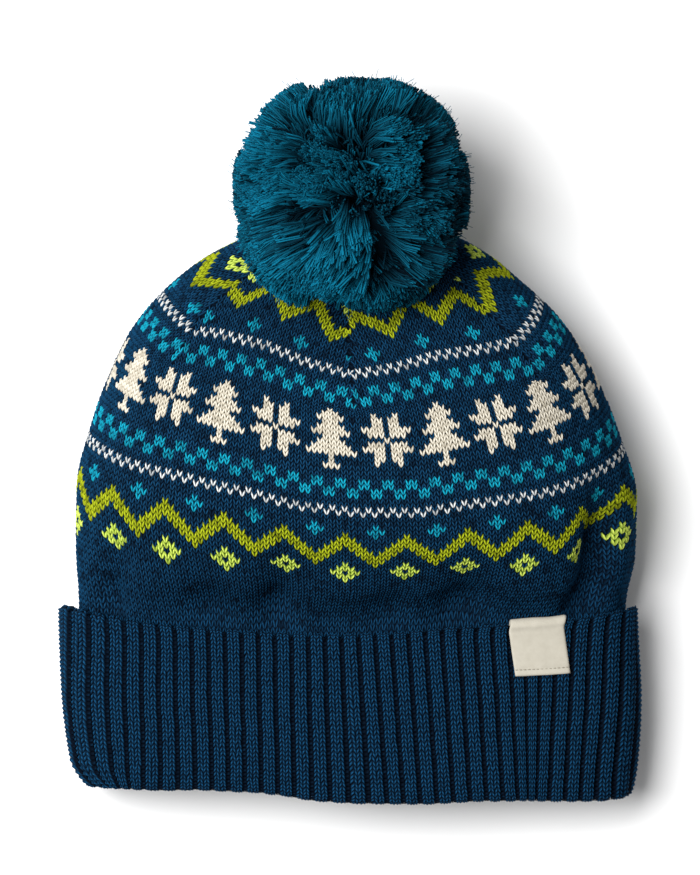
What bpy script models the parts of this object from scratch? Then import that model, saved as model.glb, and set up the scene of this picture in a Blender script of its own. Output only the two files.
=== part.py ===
"""A knitted pompom beanie lying on its back on a floor, in metres, +Z up.

The front faces up, the turned-up rib cuff points to -Y and the crown with its pompom to +Y. The origin is on
the floor under the middle of the body. The body is one closed surface through a short table of sections; the
crown, both layers of the cuff and the label all take their places from it as offsets along its normal.
"""

import math
import random

import bmesh
import bpy
import numpy as np
from mathutils import Vector

MM = 0.001

# Body, lying and filled out as in the photograph
BODY_WIDTH = 226.0 * MM
BODY_LENGTH = 229.0 * MM
BODY_HEIGHT = 85.0 * MM
ORIGIN_SHARE = 0.56

# Knitted crown
CROWN_WALL = 2.5 * MM
DART_COUNT = 6
DART_START = 0.685
DART_DEPTH = 3.4 * MM
DART_WIDTH = 9.0 * MM
TIP_LENGTH = 12.0 * MM

# Turned-up rib cuff: two layers joined by the fold at the brim
CUFF_DEPTH = 74.0 * MM
CUFF_WALL = 3.2 * MM
RIB_COUNT = 72
RIB_DEPTH = 1.1 * MM
LAYER_GAP = 1.4 * MM
CUFF_JOIN_DEPTH = 12.0 * MM
SEAM_GAP = 0.5 * MM
SETTLE_LENGTH = 16.0 * MM
CUFF_STATION = 0.2
EDGE_ROUNDING = 0.3
INNER_RIB_SHARE = 0.6
FOLD_ANGLES = (20, 65, 110, 160)

# Woven label folded over the cuff's free edge
LABEL_WIDTH = 22.5 * MM
LABEL_HEIGHT = 24.0 * MM
LABEL_BACK = 8.0 * MM
LABEL_THICK = 0.5 * MM
LABEL_GAP = 0.35 * MM
LABEL_CENTRE = 72.3 * MM
LABEL_SLANT = 0.07
LABEL_COLUMNS = 7

# Pompom
POMPOM_DIAMETER = 95.0 * MM
POMPOM_LEAN = math.radians(70.0)
POMPOM_SINK = 8.5 * MM
POMPOM_SEED = 7
LOCK_RISE = 5.0 * MM
LOCK_UNEVEN = 0.4
POMPOM_GAP = 0.5 * MM

# Sections of the body's middle surface, brim to tip. along and drop are shares of BODY_LENGTH, left and right
# of half BODY_WIDTH, top, side and lift of BODY_HEIGHT. drop is how far the front runs ahead of the sides towards
# the brim, skew how far the right side does, side the height of the widest point and lift of the underside.
SECTION_COLUMNS = ("along", "left", "right", "top", "side", "lift", "drop", "skew")
SECTIONS = (
    (0.000, 0.890, 0.940, 0.480, 0.270, 0.000, 0.020, 0.011),
    (0.050, 0.952, 0.962, 0.500, 0.285, 0.000, 0.026, 0.010),
    (0.160, 0.972, 0.976, 0.530, 0.300, 0.000, 0.033, 0.006),
    (0.320, 0.956, 0.962, 0.585, 0.320, 0.000, 0.042, 0.003),
    (0.420, 0.966, 0.996, 0.755, 0.350, 0.000, 0.066, 0.007),
    (0.520, 0.963, 0.998, 0.890, 0.375, 0.000, 0.093, 0.011),
    (0.630, 0.910, 0.938, 0.970, 0.390, 0.000, 0.110, 0.012),
    (0.730, 0.836, 0.855, 0.976, 0.400, 0.000, 0.117, 0.010),
    (0.790, 0.777, 0.784, 0.955, 0.405, 0.004, 0.117, 0.008),
    (0.840, 0.703, 0.703, 0.905, 0.410, 0.020, 0.112, 0.006),
    (0.890, 0.602, 0.588, 0.815, 0.415, 0.060, 0.098, 0.004),
    (0.930, 0.492, 0.485, 0.715, 0.420, 0.130, 0.077, 0.002),
    (0.965, 0.347, 0.347, 0.605, 0.424, 0.230, 0.048, 0.000),
    (0.990, 0.177, 0.177, 0.500, 0.424, 0.340, 0.020, 0.000),
    (1.000, 0.000, 0.000, 0.424, 0.424, 0.424, 0.000, 0.000),
)

# Soft dents in the crown. around is a share of the girth from the front's middle, to the right; along and length
# are shares of the run from brim to tip along the side, and depth is a share of BODY_HEIGHT.
DENT_COLUMNS = ("around", "along", "width", "length", "depth")
DENTS = (
    (-0.190, 0.345, 0.012, 0.045, 0.045),
    (-0.055, 0.350, 0.022, 0.060, 0.030),
    (0.060, 0.345, 0.025, 0.050, 0.012),
    (0.198, 0.385, 0.014, 0.070, 0.055),
    (0.110, 0.600, 0.010, 0.050, 0.014),
    (0.085, 0.620, 0.008, 0.040, 0.010),
)

# How square a section is (2 is an ellipse), how much further the underside would reach below the floor if it
# did not lie flat, and how gently the front's run ahead and the floor's edge begin
SECTION_SQUARENESS = 2.7
UNDERSIDE_PRESS = 1.3
DROP_POWER = 1.3
BACK_RISE_SHARE = 0.4
FLOOR_BLEND = 3.0 * MM

# Shares of the run over which the underside rounds up at the tip, and over which the darts begin and end there;
# the darts also fade out round the sides, because the back lies flat
TIP_BLEND = 0.12
DART_BLEND = 0.12
DART_FADE = 0.05
DART_BACK_BLEND = 0.3

RING_SAMPLES = 1440
CROWN_COLUMNS = 72
CROWN_RINGS = 16
RIB_POINTS = 2
NORMAL_STEP = 0.5 * MM

half_width = BODY_WIDTH / 2
cuff_inner_face = CROWN_WALL / 2 + LAYER_GAP
cuff_outer_face = cuff_inner_face + CUFF_WALL
inner_layer_half = CUFF_WALL / 2

# Colours and surfaces, as red, green, blue and roughness
FINISHES = {
    "jacquard_knit": (0.010, 0.050, 0.110, 0.90),
    "rib_knit": (0.006, 0.038, 0.090, 0.90),
    "label_cloth": (0.70, 0.66, 0.55, 0.85),
    "pompom_yarn": (0.004, 0.070, 0.110, 0.85),
}


def named(columns, rows):
    """The rows of a table as one array for each named column."""
    return {name: np.array([row[i] for row in rows]) for i, name in enumerate(columns)}


def smoothstep(x):
    """0 below 0, 1 above 1 and a smooth rise between."""
    x = np.clip(x, 0.0, 1.0)
    return x * x * (3 - 2 * x)


def through(x, xs, ys):
    """A smooth curve through the points (xs, ys) that doesn't overshoot them, read at x."""
    steps = np.diff(xs)
    slopes = np.diff(ys) / steps
    tangents = np.zeros(len(xs))
    tangents[0], tangents[-1] = slopes[0], slopes[-1]
    for i in range(1, len(xs) - 1):
        if slopes[i - 1] * slopes[i] > 0:
            weight_a = 2 * steps[i] + steps[i - 1]
            weight_b = steps[i] + 2 * steps[i - 1]
            tangents[i] = (weight_a + weight_b) / (weight_a / slopes[i - 1] + weight_b / slopes[i])
    i = int(np.clip(np.searchsorted(xs, x) - 1, 0, len(steps) - 1))
    t = (x - xs[i]) / steps[i]
    return (
        (2 * t**3 - 3 * t**2 + 1) * ys[i]
        + (t**3 - 2 * t**2 + t) * steps[i] * tangents[i]
        + (3 * t**2 - 2 * t**3) * ys[i + 1]
        + (t**3 - t**2) * steps[i] * tangents[i + 1]
    )


class Body:
    """The middle surface of the knitted wall. A point is given by its run along the side from the brim, in metres,
    and by around, its share of the girth from the middle of the back, leftwards to the front and back again."""

    def __init__(self):
        self.table = named(SECTION_COLUMNS, SECTIONS)
        self.dents = named(DENT_COLUMNS, DENTS)
        mean_half = (self.table["left"] + self.table["right"]) / 2 * half_width
        chords = np.hypot(np.diff(self.table["along"]) * BODY_LENGTH, np.diff(mean_half))
        self.runs = np.concatenate([[0.0], np.cumsum(chords)])
        self.length = self.runs[-1]

    def section(self, run):
        """The table's columns at a run along the side."""
        run = min(max(run, 0.0), self.length)
        return {name: through(run, self.runs, self.table[name]) for name in SECTION_COLUMNS}

    def rest_height(self, run, lift):
        """Height of the middle surface's underside: on the cuff's outer layer, then down to the floor."""
        settled = smoothstep((run - CUFF_DEPTH) / SETTLE_LENGTH)
        return cuff_outer_face + (CROWN_WALL / 2 - cuff_outer_face) * settled + lift * BODY_HEIGHT

    def outline(self, run, angle):
        """Points of the section at a run, by angle from straight down, leftwards."""
        at = self.section(run)
        power = 2 / SECTION_SQUARENESS
        across = -np.sign(np.sin(angle)) * np.abs(np.sin(angle)) ** power
        up = -np.sign(np.cos(angle)) * np.abs(np.cos(angle)) ** power
        side, top = at["side"] * BODY_HEIGHT, at["top"] * BODY_HEIGHT
        rest = self.rest_height(run, at["lift"])
        shut = smoothstep((self.length - run) / (TIP_BLEND * self.length))
        press = 1 + (UNDERSIDE_PRESS - 1) * shut
        height = np.where(up > 0, side + (top - side) * up, side + (side - rest) * press * up)
        above = height - rest
        blend = FLOOR_BLEND * shut + 1e-9
        eased = np.where(above > blend, above, np.where(above < -blend, 0.0, (above + blend) ** 2 / (4 * blend)))
        height = np.where(up > 0, height, rest + eased)
        x = across * half_width * np.where(across < 0, at["left"], at["right"])
        ahead = np.abs(np.cos(angle)) ** DROP_POWER * at["drop"] * np.where(up > 0, -1.0, BACK_RISE_SHARE)
        y = (at["along"] - ORIGIN_SHARE + ahead - at["skew"] * across) * BODY_LENGTH
        return np.stack([x, y + np.zeros_like(x), height], axis=-1)

    def ring(self, run, around):
        """Points at a run, evenly spaced in around by length along the section."""
        angles = np.linspace(0, 2 * math.pi, RING_SAMPLES + 1)
        line = self.outline(run, angles)
        steps = np.linalg.norm(np.diff(line, axis=0), axis=1)
        shares = np.concatenate([[0.0], np.cumsum(steps)])
        shares /= max(shares[-1], 1e-12)
        return self.outline(run, np.interp(np.mod(around, 1.0), shares, angles))

    def sunk(self, run, around):
        """How far the soft dents and the crown's darts push the wall in."""
        share = run / self.length
        depth = np.zeros_like(around)
        for i in range(len(DENTS)):
            dent = {name: self.dents[name][i] for name in DENT_COLUMNS}
            sideways = (around - 0.5 - dent["around"]) / dent["width"]
            lengthways = (share - dent["along"]) / dent["length"]
            depth += dent["depth"] * BODY_HEIGHT * np.exp(-(sideways**2) - lengthways**2)
        girth = self.girth(run)
        to_dart = np.abs(np.mod(around * DART_COUNT + 0.5, 1.0) - 0.5) * girth / DART_COUNT
        rising = smoothstep((share - DART_START) / DART_BLEND)
        front = smoothstep(0.5 - np.cos(around * 2 * math.pi) / DART_BACK_BLEND)
        fading = smoothstep((self.length - run) / (DART_FADE * self.length))
        return depth + DART_DEPTH * rising * front * fading * np.exp(-((to_dart / DART_WIDTH) ** 2))

    def girth(self, run):
        """Length round the section at a run."""
        line = self.outline(run, np.linspace(0, 2 * math.pi, 181))
        return max(np.linalg.norm(np.diff(line, axis=0), axis=1).sum(), 1e-6)

    def sheet(self, run, around, offset):
        """Points of the wall at a run, offset outwards from the dented middle surface."""
        here = self.ring(run, around)
        ahead = self.ring(min(run + NORMAL_STEP, self.length), around)
        behind = self.ring(run - NORMAL_STEP, around) if run > NORMAL_STEP else here
        turn = NORMAL_STEP / self.girth(run)
        sideways = self.ring(run, around + turn) - self.ring(run, around - turn)
        normal = np.cross(sideways, ahead - behind)
        normal /= np.maximum(np.linalg.norm(normal, axis=-1, keepdims=True), 1e-12)
        return here + normal * (offset - self.sunk(run, around))[..., None]


def finish(name, finish_name, mesh, smooth_angle):
    """Links a mesh as a named object with its finish and smooth shading."""
    piece = bpy.data.objects.new(name, mesh)
    bpy.context.scene.collection.objects.link(piece)
    red, green, blue, roughness = FINISHES[finish_name]
    material = bpy.data.materials.get(finish_name) or bpy.data.materials.new(finish_name)
    material.use_nodes = True
    shader = material.node_tree.nodes["Principled BSDF"]
    shader.inputs["Base Color"].default_value = (red, green, blue, 1.0)
    shader.inputs["Roughness"].default_value = roughness
    mesh.materials.append(material)
    mesh.shade_smooth()
    mesh.set_sharp_from_angle(angle=math.radians(smooth_angle))
    return piece


def solid(name, points, faces):
    """A closed mesh with its faces turned outwards."""
    mesh = bpy.data.meshes.new(name)
    mesh.from_pydata([tuple(p) for p in points], [], faces)
    work = bmesh.new()
    work.from_mesh(mesh)
    bmesh.ops.recalc_face_normals(work, faces=work.faces)
    work.to_mesh(mesh)
    work.free()
    return mesh


def band_faces(rings, closed_profile):
    """The points of closed rings and the quads between them. closed_profile joins the last ring to the first."""
    count = len(rings[0])
    points = [point for ring in rings for point in ring]
    pairs = [(i, i + 1) for i in range(len(rings) - 1)]
    if closed_profile:
        pairs.append((len(rings) - 1, 0))
    faces = []
    for a, b in pairs:
        for k in range(count):
            following = (k + 1) % count
            faces.append((a * count + k, a * count + following, b * count + following, b * count + k))
    return points, faces


def capped_band(name, rings, first_point, last_point):
    """A closed mesh through rings, fanned to a point beyond its first ring and one beyond its last."""
    points, faces = band_faces(rings, False)
    count = len(rings[0])
    for point, start in ((first_point, 0), (last_point, (len(rings) - 1) * count)):
        faces += [(len(points), start + k, start + (k + 1) % count) for k in range(count)]
        points.append(point)
    return solid(name, points, faces)


def crown_grid(body):
    """The crown's columns round the body and its runs from behind the cuff to the tip."""
    around = np.arange(CROWN_COLUMNS) / CROWN_COLUMNS
    start = CUFF_DEPTH - CUFF_JOIN_DEPTH
    spread = np.linspace(0.0, 1.0, CROWN_RINGS)
    return around, start + (body.length - TIP_LENGTH - start) * spread


def make_crown(body):
    """The knitted body above the rib: a wall that starts behind the cuff and closes at the tip."""
    around, runs = crown_grid(body)
    outside = [body.sheet(run, around, np.full_like(around, CROWN_WALL / 2)) for run in runs]
    inside = [body.sheet(run, around, np.full_like(around, -CROWN_WALL / 2)) for run in runs]
    tip = Vector(body.ring(body.length, np.zeros(1))[0])
    half_wall = Vector((0.0, CROWN_WALL / 2, 0.0))
    mesh = capped_band("crown", outside[::-1] + inside, tip + half_wall, tip - half_wall)
    return finish("crown", "jacquard_knit", mesh, 50)


def cuff_profile():
    """The folded wall's closed outline as (run, offset, rib), rib being how much of the ribs' depth it takes."""
    join = CUFF_DEPTH - CUFF_JOIN_DEPTH - SEAM_GAP
    low, high = CUFF_STATION * CUFF_DEPTH, CUFF_DEPTH - LABEL_HEIGHT - LABEL_GAP
    rounding = EDGE_ROUNDING * CUFF_WALL
    turn = (cuff_outer_face + inner_layer_half) / 2
    middle = (cuff_outer_face - inner_layer_half) / 2
    outer_layer = [
        (low, cuff_outer_face, 1.0),
        (high, cuff_outer_face, 1.0),
        (CUFF_DEPTH - rounding, cuff_outer_face, 1.0),
        (CUFF_DEPTH, cuff_outer_face - rounding, 0.6),
        (CUFF_DEPTH, cuff_inner_face, 0.0),
    ]
    pocket = [
        (high, cuff_inner_face, 0.0),
        (low, cuff_inner_face, 0.0),
        (CUFF_WALL, (cuff_inner_face + inner_layer_half) / 2, 0.0),
        (low, inner_layer_half, 0.0),
        (high, inner_layer_half, 0.0),
    ]
    inner_layer = [
        (join, inner_layer_half, 0.0),
        (join, -inner_layer_half, 0.0),
        (high, -inner_layer_half, 0.0),
        (low, -inner_layer_half, -INNER_RIB_SHARE),
    ]
    fold = [
        (turn * (1 - math.sin(angle)), middle - turn * math.cos(angle), max(0.0, -math.cos(angle)))
        for angle in np.radians(FOLD_ANGLES)
    ]
    return outer_layer + pocket + inner_layer + fold


def make_cuff(body):
    """The rib band: inner layer, fold at the brim and turned-up outer layer in one wall."""
    count = RIB_COUNT * RIB_POINTS
    around = (np.arange(count) + 0.5) / count
    groove = np.where(np.arange(count) % RIB_POINTS == 0, 1.0, 0.0)
    rings = []
    for run, offset, rib in cuff_profile():
        rings.append(body.sheet(run, around, offset - rib * RIB_DEPTH * groove))
    mesh = solid("cuff", *band_faces(rings, True))
    return finish("cuff", "rib_knit", mesh, 60)


def label_around(body, run, across):
    """Share of the girth at which the front of the wall is at a place across, in metres to the right."""
    around = np.linspace(0.3, 0.7, 600)
    return np.interp(across, body.ring(run, around)[:, 0], around)


def make_label(body):
    """The woven label: a strip laid on the cuff, over its free edge and down behind it."""
    edge = CUFF_DEPTH
    front, back = cuff_outer_face + LABEL_GAP, CROWN_WALL / 2 + LABEL_GAP
    over = LABEL_GAP
    route = [
        (edge - LABEL_HEIGHT, front),
        (edge - over, front),
        (edge + over, front - 2 * over),
        (edge + over, back + 2 * over),
        (edge - over, back),
        (edge - LABEL_BACK, back),
    ]
    sheets = []
    for extra in (LABEL_THICK, 0.0):
        for i, (run, offset) in enumerate(route):
            behind = i >= len(route) - 3
            lift = LABEL_THICK - extra if behind else extra
            grow = extra if run > edge else 0.0
            middle = LABEL_CENTRE + LABEL_SLANT * (edge - run)
            across = middle + np.linspace(-0.5, 0.5, LABEL_COLUMNS) * LABEL_WIDTH
            around = label_around(body, run, across)
            sheets.append(body.sheet(run + grow, around, np.full(LABEL_COLUMNS, offset + lift)))
    points = [point for row in sheets for point in row]
    size, last = len(route) * LABEL_COLUMNS, LABEL_COLUMNS - 1
    faces = []
    for i in range(len(route) - 1):
        for k in range(last):
            corner, above = i * LABEL_COLUMNS + k, (i + 1) * LABEL_COLUMNS + k
            quad = (corner, corner + 1, above + 1, above)
            faces += [quad, tuple(size + v for v in reversed(quad))]
    rim = list(range(LABEL_COLUMNS))
    rim += [i * LABEL_COLUMNS + last for i in range(1, len(route))]
    rim += [(len(route) - 1) * LABEL_COLUMNS + k for k in range(last - 1, -1, -1)]
    rim += [i * LABEL_COLUMNS for i in range(len(route) - 2, 0, -1)]
    faces += [(a, b, size + b, size + a) for a, b in zip(rim, rim[1:] + rim[:1])]
    mesh = solid("label", points, faces)
    return finish("label", "label_cloth", mesh, 40)


def make_pompom(body):
    """A head with a lock on every facet, hollowed where it sits on the crown it is tied to."""
    tip = Vector(body.ring(body.length, np.zeros(1))[0])
    reach = POMPOM_DIAMETER / 2 - POMPOM_SINK
    centre = tip + Vector((0.0, math.cos(POMPOM_LEAN), math.sin(POMPOM_LEAN))) * reach
    chance = random.Random(POMPOM_SEED)
    work = bmesh.new()
    bmesh.ops.create_icosphere(work, subdivisions=3, radius=POMPOM_DIAMETER / 2 - LOCK_RISE)
    locks = bmesh.ops.poke(work, faces=work.faces[:])
    for lock in locks["verts"]:
        lock.co = lock.co.normalized() * (POMPOM_DIAMETER / 2 - LOCK_RISE * chance.uniform(0.0, LOCK_UNEVEN))
    bmesh.ops.translate(work, verts=work.verts, vec=centre)
    mesh = bpy.data.meshes.new("pompom")
    work.to_mesh(mesh)
    work.free()
    piece = finish("pompom", "pompom_yarn", mesh, 30)
    seat = piece.modifiers.new("seat", "BOOLEAN")
    seat.operation = "DIFFERENCE"
    seat.object = make_seat_cutter(body)
    return piece


def make_seat_cutter(body):
    """The crown's outside, grown by the pompom's gap."""
    around, runs = crown_grid(body)
    grown = np.full_like(around, CROWN_WALL / 2 + POMPOM_GAP)
    rings = [body.sheet(run, around, grown) for run in runs[::-1]]
    tip = Vector(body.ring(body.length, np.zeros(1))[0]) + Vector((0.0, CROWN_WALL / 2 + 2 * POMPOM_GAP, 0.0))
    mesh = capped_band("seat_cutter", rings, tip, rings[-1].mean(axis=0))
    cutter = bpy.data.objects.new("seat_cutter", mesh)
    bpy.context.scene.collection.objects.link(cutter)
    cutter.hide_render = True
    cutter.display_type = "WIRE"
    return cutter


def main():
    for piece in list(bpy.data.objects):
        bpy.data.objects.remove(piece, do_unlink=True)
    body = Body()
    make_crown(body)
    make_cuff(body)
    make_label(body)
    make_pompom(body)


main()
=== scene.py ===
"""Looks of a knitted pompom beanie lying on its back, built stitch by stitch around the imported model.

The front of the hat faces up (+Z), the brim points to -Y and the pompom to +Y. Every stitch is a pair of
yarn legs laid on the body's middle surface, the rib cuff is knitted along its own folded profile, and the
pompom is a ball of cut yarn ends.
"""

import logging
import math
from collections.abc import Callable
from dataclasses import dataclass, field, fields
from enum import Enum

import bpy
import numpy as np
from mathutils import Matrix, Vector
from mathutils.bvhtree import BVHTree


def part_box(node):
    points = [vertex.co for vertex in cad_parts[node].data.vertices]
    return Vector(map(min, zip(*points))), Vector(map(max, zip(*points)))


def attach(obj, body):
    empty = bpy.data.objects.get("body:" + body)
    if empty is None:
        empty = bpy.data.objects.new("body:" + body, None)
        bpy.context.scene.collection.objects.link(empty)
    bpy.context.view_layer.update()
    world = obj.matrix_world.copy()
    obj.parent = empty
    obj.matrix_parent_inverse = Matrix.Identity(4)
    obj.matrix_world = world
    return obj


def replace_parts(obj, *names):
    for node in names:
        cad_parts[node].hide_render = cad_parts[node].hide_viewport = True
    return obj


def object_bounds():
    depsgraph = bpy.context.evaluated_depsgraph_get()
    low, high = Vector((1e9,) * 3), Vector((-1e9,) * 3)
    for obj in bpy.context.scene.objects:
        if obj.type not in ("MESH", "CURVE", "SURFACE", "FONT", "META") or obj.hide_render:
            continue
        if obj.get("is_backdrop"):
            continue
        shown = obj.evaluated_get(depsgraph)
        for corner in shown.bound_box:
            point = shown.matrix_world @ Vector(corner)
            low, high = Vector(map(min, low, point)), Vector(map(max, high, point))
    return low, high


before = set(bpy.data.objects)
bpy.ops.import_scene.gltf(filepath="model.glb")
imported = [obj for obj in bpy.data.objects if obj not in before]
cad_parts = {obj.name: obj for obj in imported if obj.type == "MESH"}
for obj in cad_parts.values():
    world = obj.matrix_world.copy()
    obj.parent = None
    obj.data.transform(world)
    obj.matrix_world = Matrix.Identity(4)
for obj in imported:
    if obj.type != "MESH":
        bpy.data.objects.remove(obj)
cad_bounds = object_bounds()
log = logging.getLogger("beanie")

MM = 0.001
TINY = 1e-15
ROOT_BODY = "root"
# The point attribute for fibre brightness, which also carries painted shade and light.
TONE = "tone"
STITCH_UV = "stitches"

Colour = tuple[float, float, float]
Triple = tuple[float, float, float]
Socket = bpy.types.NodeSocket


class Slot(Enum):
    """The record's material slots."""

    CROWN = "jacquard_knit"
    CUFF = "rib_knit"
    LABEL = "label_cloth"
    POMPOM = "pompom_yarn"


class Yarn(Enum):
    """The yarns of the patterned crown, numbered as the chart uses them."""

    NAVY = 0
    TEAL = 1
    LIME = 2
    YELLOW_GREEN = 3
    WHITE = 4
    CREAM = 5


@dataclass(frozen=True)
class YarnFinish:
    """A yarn's surface and the colours, in linear red, green and blue, of its shaded and its lit fibres."""

    name: str
    deep: Colour
    bright: Colour
    roughness: float = 0.82
    specular: float = 0.05
    fibre_scale: float = 2300.0
    fibre_detail: float = 3.0
    fibre_share: float = 0.8
    peak: float = 1.5
    bump: float = 0.35
    bump_reach: float = 0.12 * MM

    def material(self) -> bpy.types.Material:
        """Makes the yarn's material: fibres in two tones and a fine fibre bump.

        Returns:
            The material.
        """
        made = MaterialBuilder(self.name, self.roughness, self.specular)
        tone = made.node("ShaderNodeAttribute")
        tone.attribute_name = TONE
        coordinates = made.node("ShaderNodeTexCoord")
        fibres = made.noise(coordinates.outputs["Object"], self.fibre_scale, self.fibre_detail)
        uneven = made.math("MULTIPLY_ADD", fibres.outputs["Fac"], self.fibre_share, 1 - self.fibre_share / 2)
        blend = made.math("MULTIPLY", uneven.outputs[0], tone.outputs["Fac"])
        peaked = made.math("POWER", blend.outputs[0], self.peak)
        made.mix_colours(peaked.outputs[0], self.deep, self.bright)
        made.bump(fibres.outputs["Fac"], self.bump, self.bump_reach)
        return made.material


class MaterialBuilder:
    """A Principled material and short ways to add the nodes that colour and emboss it."""

    def __init__(self, name: str, roughness: float, specular: float) -> None:
        """Starts the material with the values that are the same all over it.

        Args:
            name: The material's name.
            roughness: The roughness of the surface.
            specular: How much light glances off it, where 0.5 is a usual plastic.
        """
        self.material = bpy.data.materials.new(name)
        self.material.use_nodes = True
        self.tree = self.material.node_tree
        self.shader = self.tree.nodes["Principled BSDF"]
        self.shader.inputs["Roughness"].default_value = roughness
        self.shader.inputs["Specular IOR Level"].default_value = specular

    def node(self, kind: str) -> bpy.types.Node:
        """Adds a node of a kind and returns it."""
        return self.tree.nodes.new(kind)

    def link(self, output: Socket, socket: Socket) -> None:
        """Joins an output to an input."""
        self.tree.links.new(output, socket)

    def noise(self, where: Socket, scale: float, detail: float) -> bpy.types.Node:
        """Adds a noise texture.

        Args:
            where: The coordinates that it reads.
            scale: Its scale, in cells per metre for object coordinates.
            detail: Its number of octaves.

        Returns:
            The noise node.
        """
        noise = self.node("ShaderNodeTexNoise")
        noise.inputs["Scale"].default_value = scale
        noise.inputs["Detail"].default_value = detail
        self.link(where, noise.inputs["Vector"])
        return noise

    def math(self, operation: str, first: Socket, *others: Socket | float) -> bpy.types.Node:
        """Adds a math node.

        Args:
            operation: Its operation.
            first: The socket of its first value.
            others: Its other values, as sockets or numbers.

        Returns:
            The math node.
        """
        node = self.node("ShaderNodeMath")
        node.operation = operation
        self.link(first, node.inputs[0])
        for i, other in enumerate(others, start=1):
            if isinstance(other, (int, float)):
                node.inputs[i].default_value = other
            else:
                self.link(other, node.inputs[i])
        return node

    def mix_colours(self, factor: Socket, first: Colour, second: Colour) -> None:
        """Drives the base colour from one colour to another.

        Args:
            factor: The share of the second colour.
            first: The colour at 0.
            second: The colour at 1.
        """
        mix = self.node("ShaderNodeMix")
        mix.data_type = "RGBA"
        self.link(factor, mix.inputs["Factor"])
        mix.inputs["A"].default_value = (*first, 1.0)
        mix.inputs["B"].default_value = (*second, 1.0)
        self.link(mix.outputs["Result"], self.shader.inputs["Base Color"])

    def bump(self, height: Socket, strength: float, reach: float) -> None:
        """Embosses the surface.

        Args:
            height: The height from 0 to 1.
            strength: How much of the bump shows.
            reach: The depth of the bump in metres.
        """
        bump = self.node("ShaderNodeBump")
        bump.inputs["Strength"].default_value = strength
        bump.inputs["Distance"].default_value = reach
        self.link(height, bump.inputs["Height"])
        self.link(bump.outputs["Normal"], self.shader.inputs["Normal"])


@dataclass(frozen=True)
class ClothFinish:
    """The label's woven cloth: warp and weft threads crossing, with a faint unevenness."""

    name: str
    deep: Colour
    bright: Colour
    roughness: float = 0.8
    specular: float = 0.2
    thread_scale: float = 750.0
    thread_waver: float = 0.6
    noise_scale: float = 420.0
    noise_detail: float = 4.0
    weave_share: float = 0.25
    bump: float = 0.5
    bump_reach: float = 0.12 * MM

    def material(self) -> bpy.types.Material:
        """Makes the cloth's material.

        Returns:
            The material.
        """
        made = MaterialBuilder(self.name, self.roughness, self.specular)
        where = made.node("ShaderNodeTexCoord")
        threads = []
        for direction in ("X", "Y"):
            wave = made.node("ShaderNodeTexWave")
            wave.bands_direction = direction
            wave.inputs["Scale"].default_value = self.thread_scale
            wave.inputs["Distortion"].default_value = self.thread_waver
            made.link(where.outputs["Object"], wave.inputs["Vector"])
            threads.append(wave.outputs["Fac"])
        weave = made.math("ADD", threads[0], threads[1])
        noise = made.noise(where.outputs["Object"], self.noise_scale, self.noise_detail)
        tone = made.math("MULTIPLY_ADD", weave.outputs[0], self.weave_share, noise.outputs["Fac"])
        made.mix_colours(tone.outputs[0], self.deep, self.bright)
        made.bump(weave.outputs[0], self.bump, self.bump_reach)
        return made.material


@dataclass(frozen=True)
class Finishes:
    """The yarns of the hat and the cloth of its label."""

    navy: YarnFinish = YarnFinish("navy_yarn", (0.0003, 0.0016, 0.005), (0.0064, 0.066, 0.158), peak=2.2)
    rib: YarnFinish = YarnFinish("rib_yarn", (0.0003, 0.0020, 0.006), (0.0080, 0.086, 0.205), peak=2.1)
    teal: YarnFinish = YarnFinish("teal_yarn", (0.001, 0.020, 0.040), (0.008, 0.42, 0.60))
    lime: YarnFinish = YarnFinish("lime_yarn", (0.030, 0.040, 0.001), (0.50, 0.58, 0.018))
    yellow_green: YarnFinish = YarnFinish("yellow_green_yarn", (0.10, 0.17, 0.008), (0.80, 0.95, 0.17))
    white: YarnFinish = YarnFinish("white_yarn", (0.03, 0.05, 0.07), (0.92, 0.93, 0.90))
    cream: YarnFinish = YarnFinish("cream_yarn", (0.26, 0.23, 0.17), (0.86, 0.81, 0.70))
    pompom: YarnFinish = YarnFinish(
        "pompom_yarn", (0.0002, 0.0030, 0.007), (0.0026, 0.145, 0.245), fibre_scale=1800.0, fibre_share=1.0
    )
    # A much darker copy of the pompom yarn, painted as the shade inside the ball.
    pompom_core: YarnFinish = YarnFinish("pompom_core_painted_shade", (0.0001, 0.0020, 0.004), (0.0006, 0.012, 0.022))
    label_cloth: ClothFinish = ClothFinish("label_cloth", (0.40, 0.37, 0.30), (0.50, 0.47, 0.395))
    label_thread: YarnFinish = YarnFinish(
        "label_thread", (0.20, 0.18, 0.14), (0.46, 0.42, 0.35), fibre_scale=5000.0
    )


@dataclass(frozen=True)
class Section:
    """A section of the body's middle surface.

    along, drop and skew are shares of the body's length, left and right of half its width, top, side and lift
    of its height. drop is how much nearer to the brim than the sides the front lies, skew how much nearer to
    it than the middle the right side does.
    """

    along: float
    left: float
    right: float
    top: float
    side: float
    lift: float
    drop: float
    skew: float


@dataclass(frozen=True)
class Dent:
    """A soft dent. around is a share of the girth from the front's middle, along and length of the run from
    brim to tip, width of the girth and depth of the body's height."""

    around: float
    along: float
    width: float
    length: float
    depth: float


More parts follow.
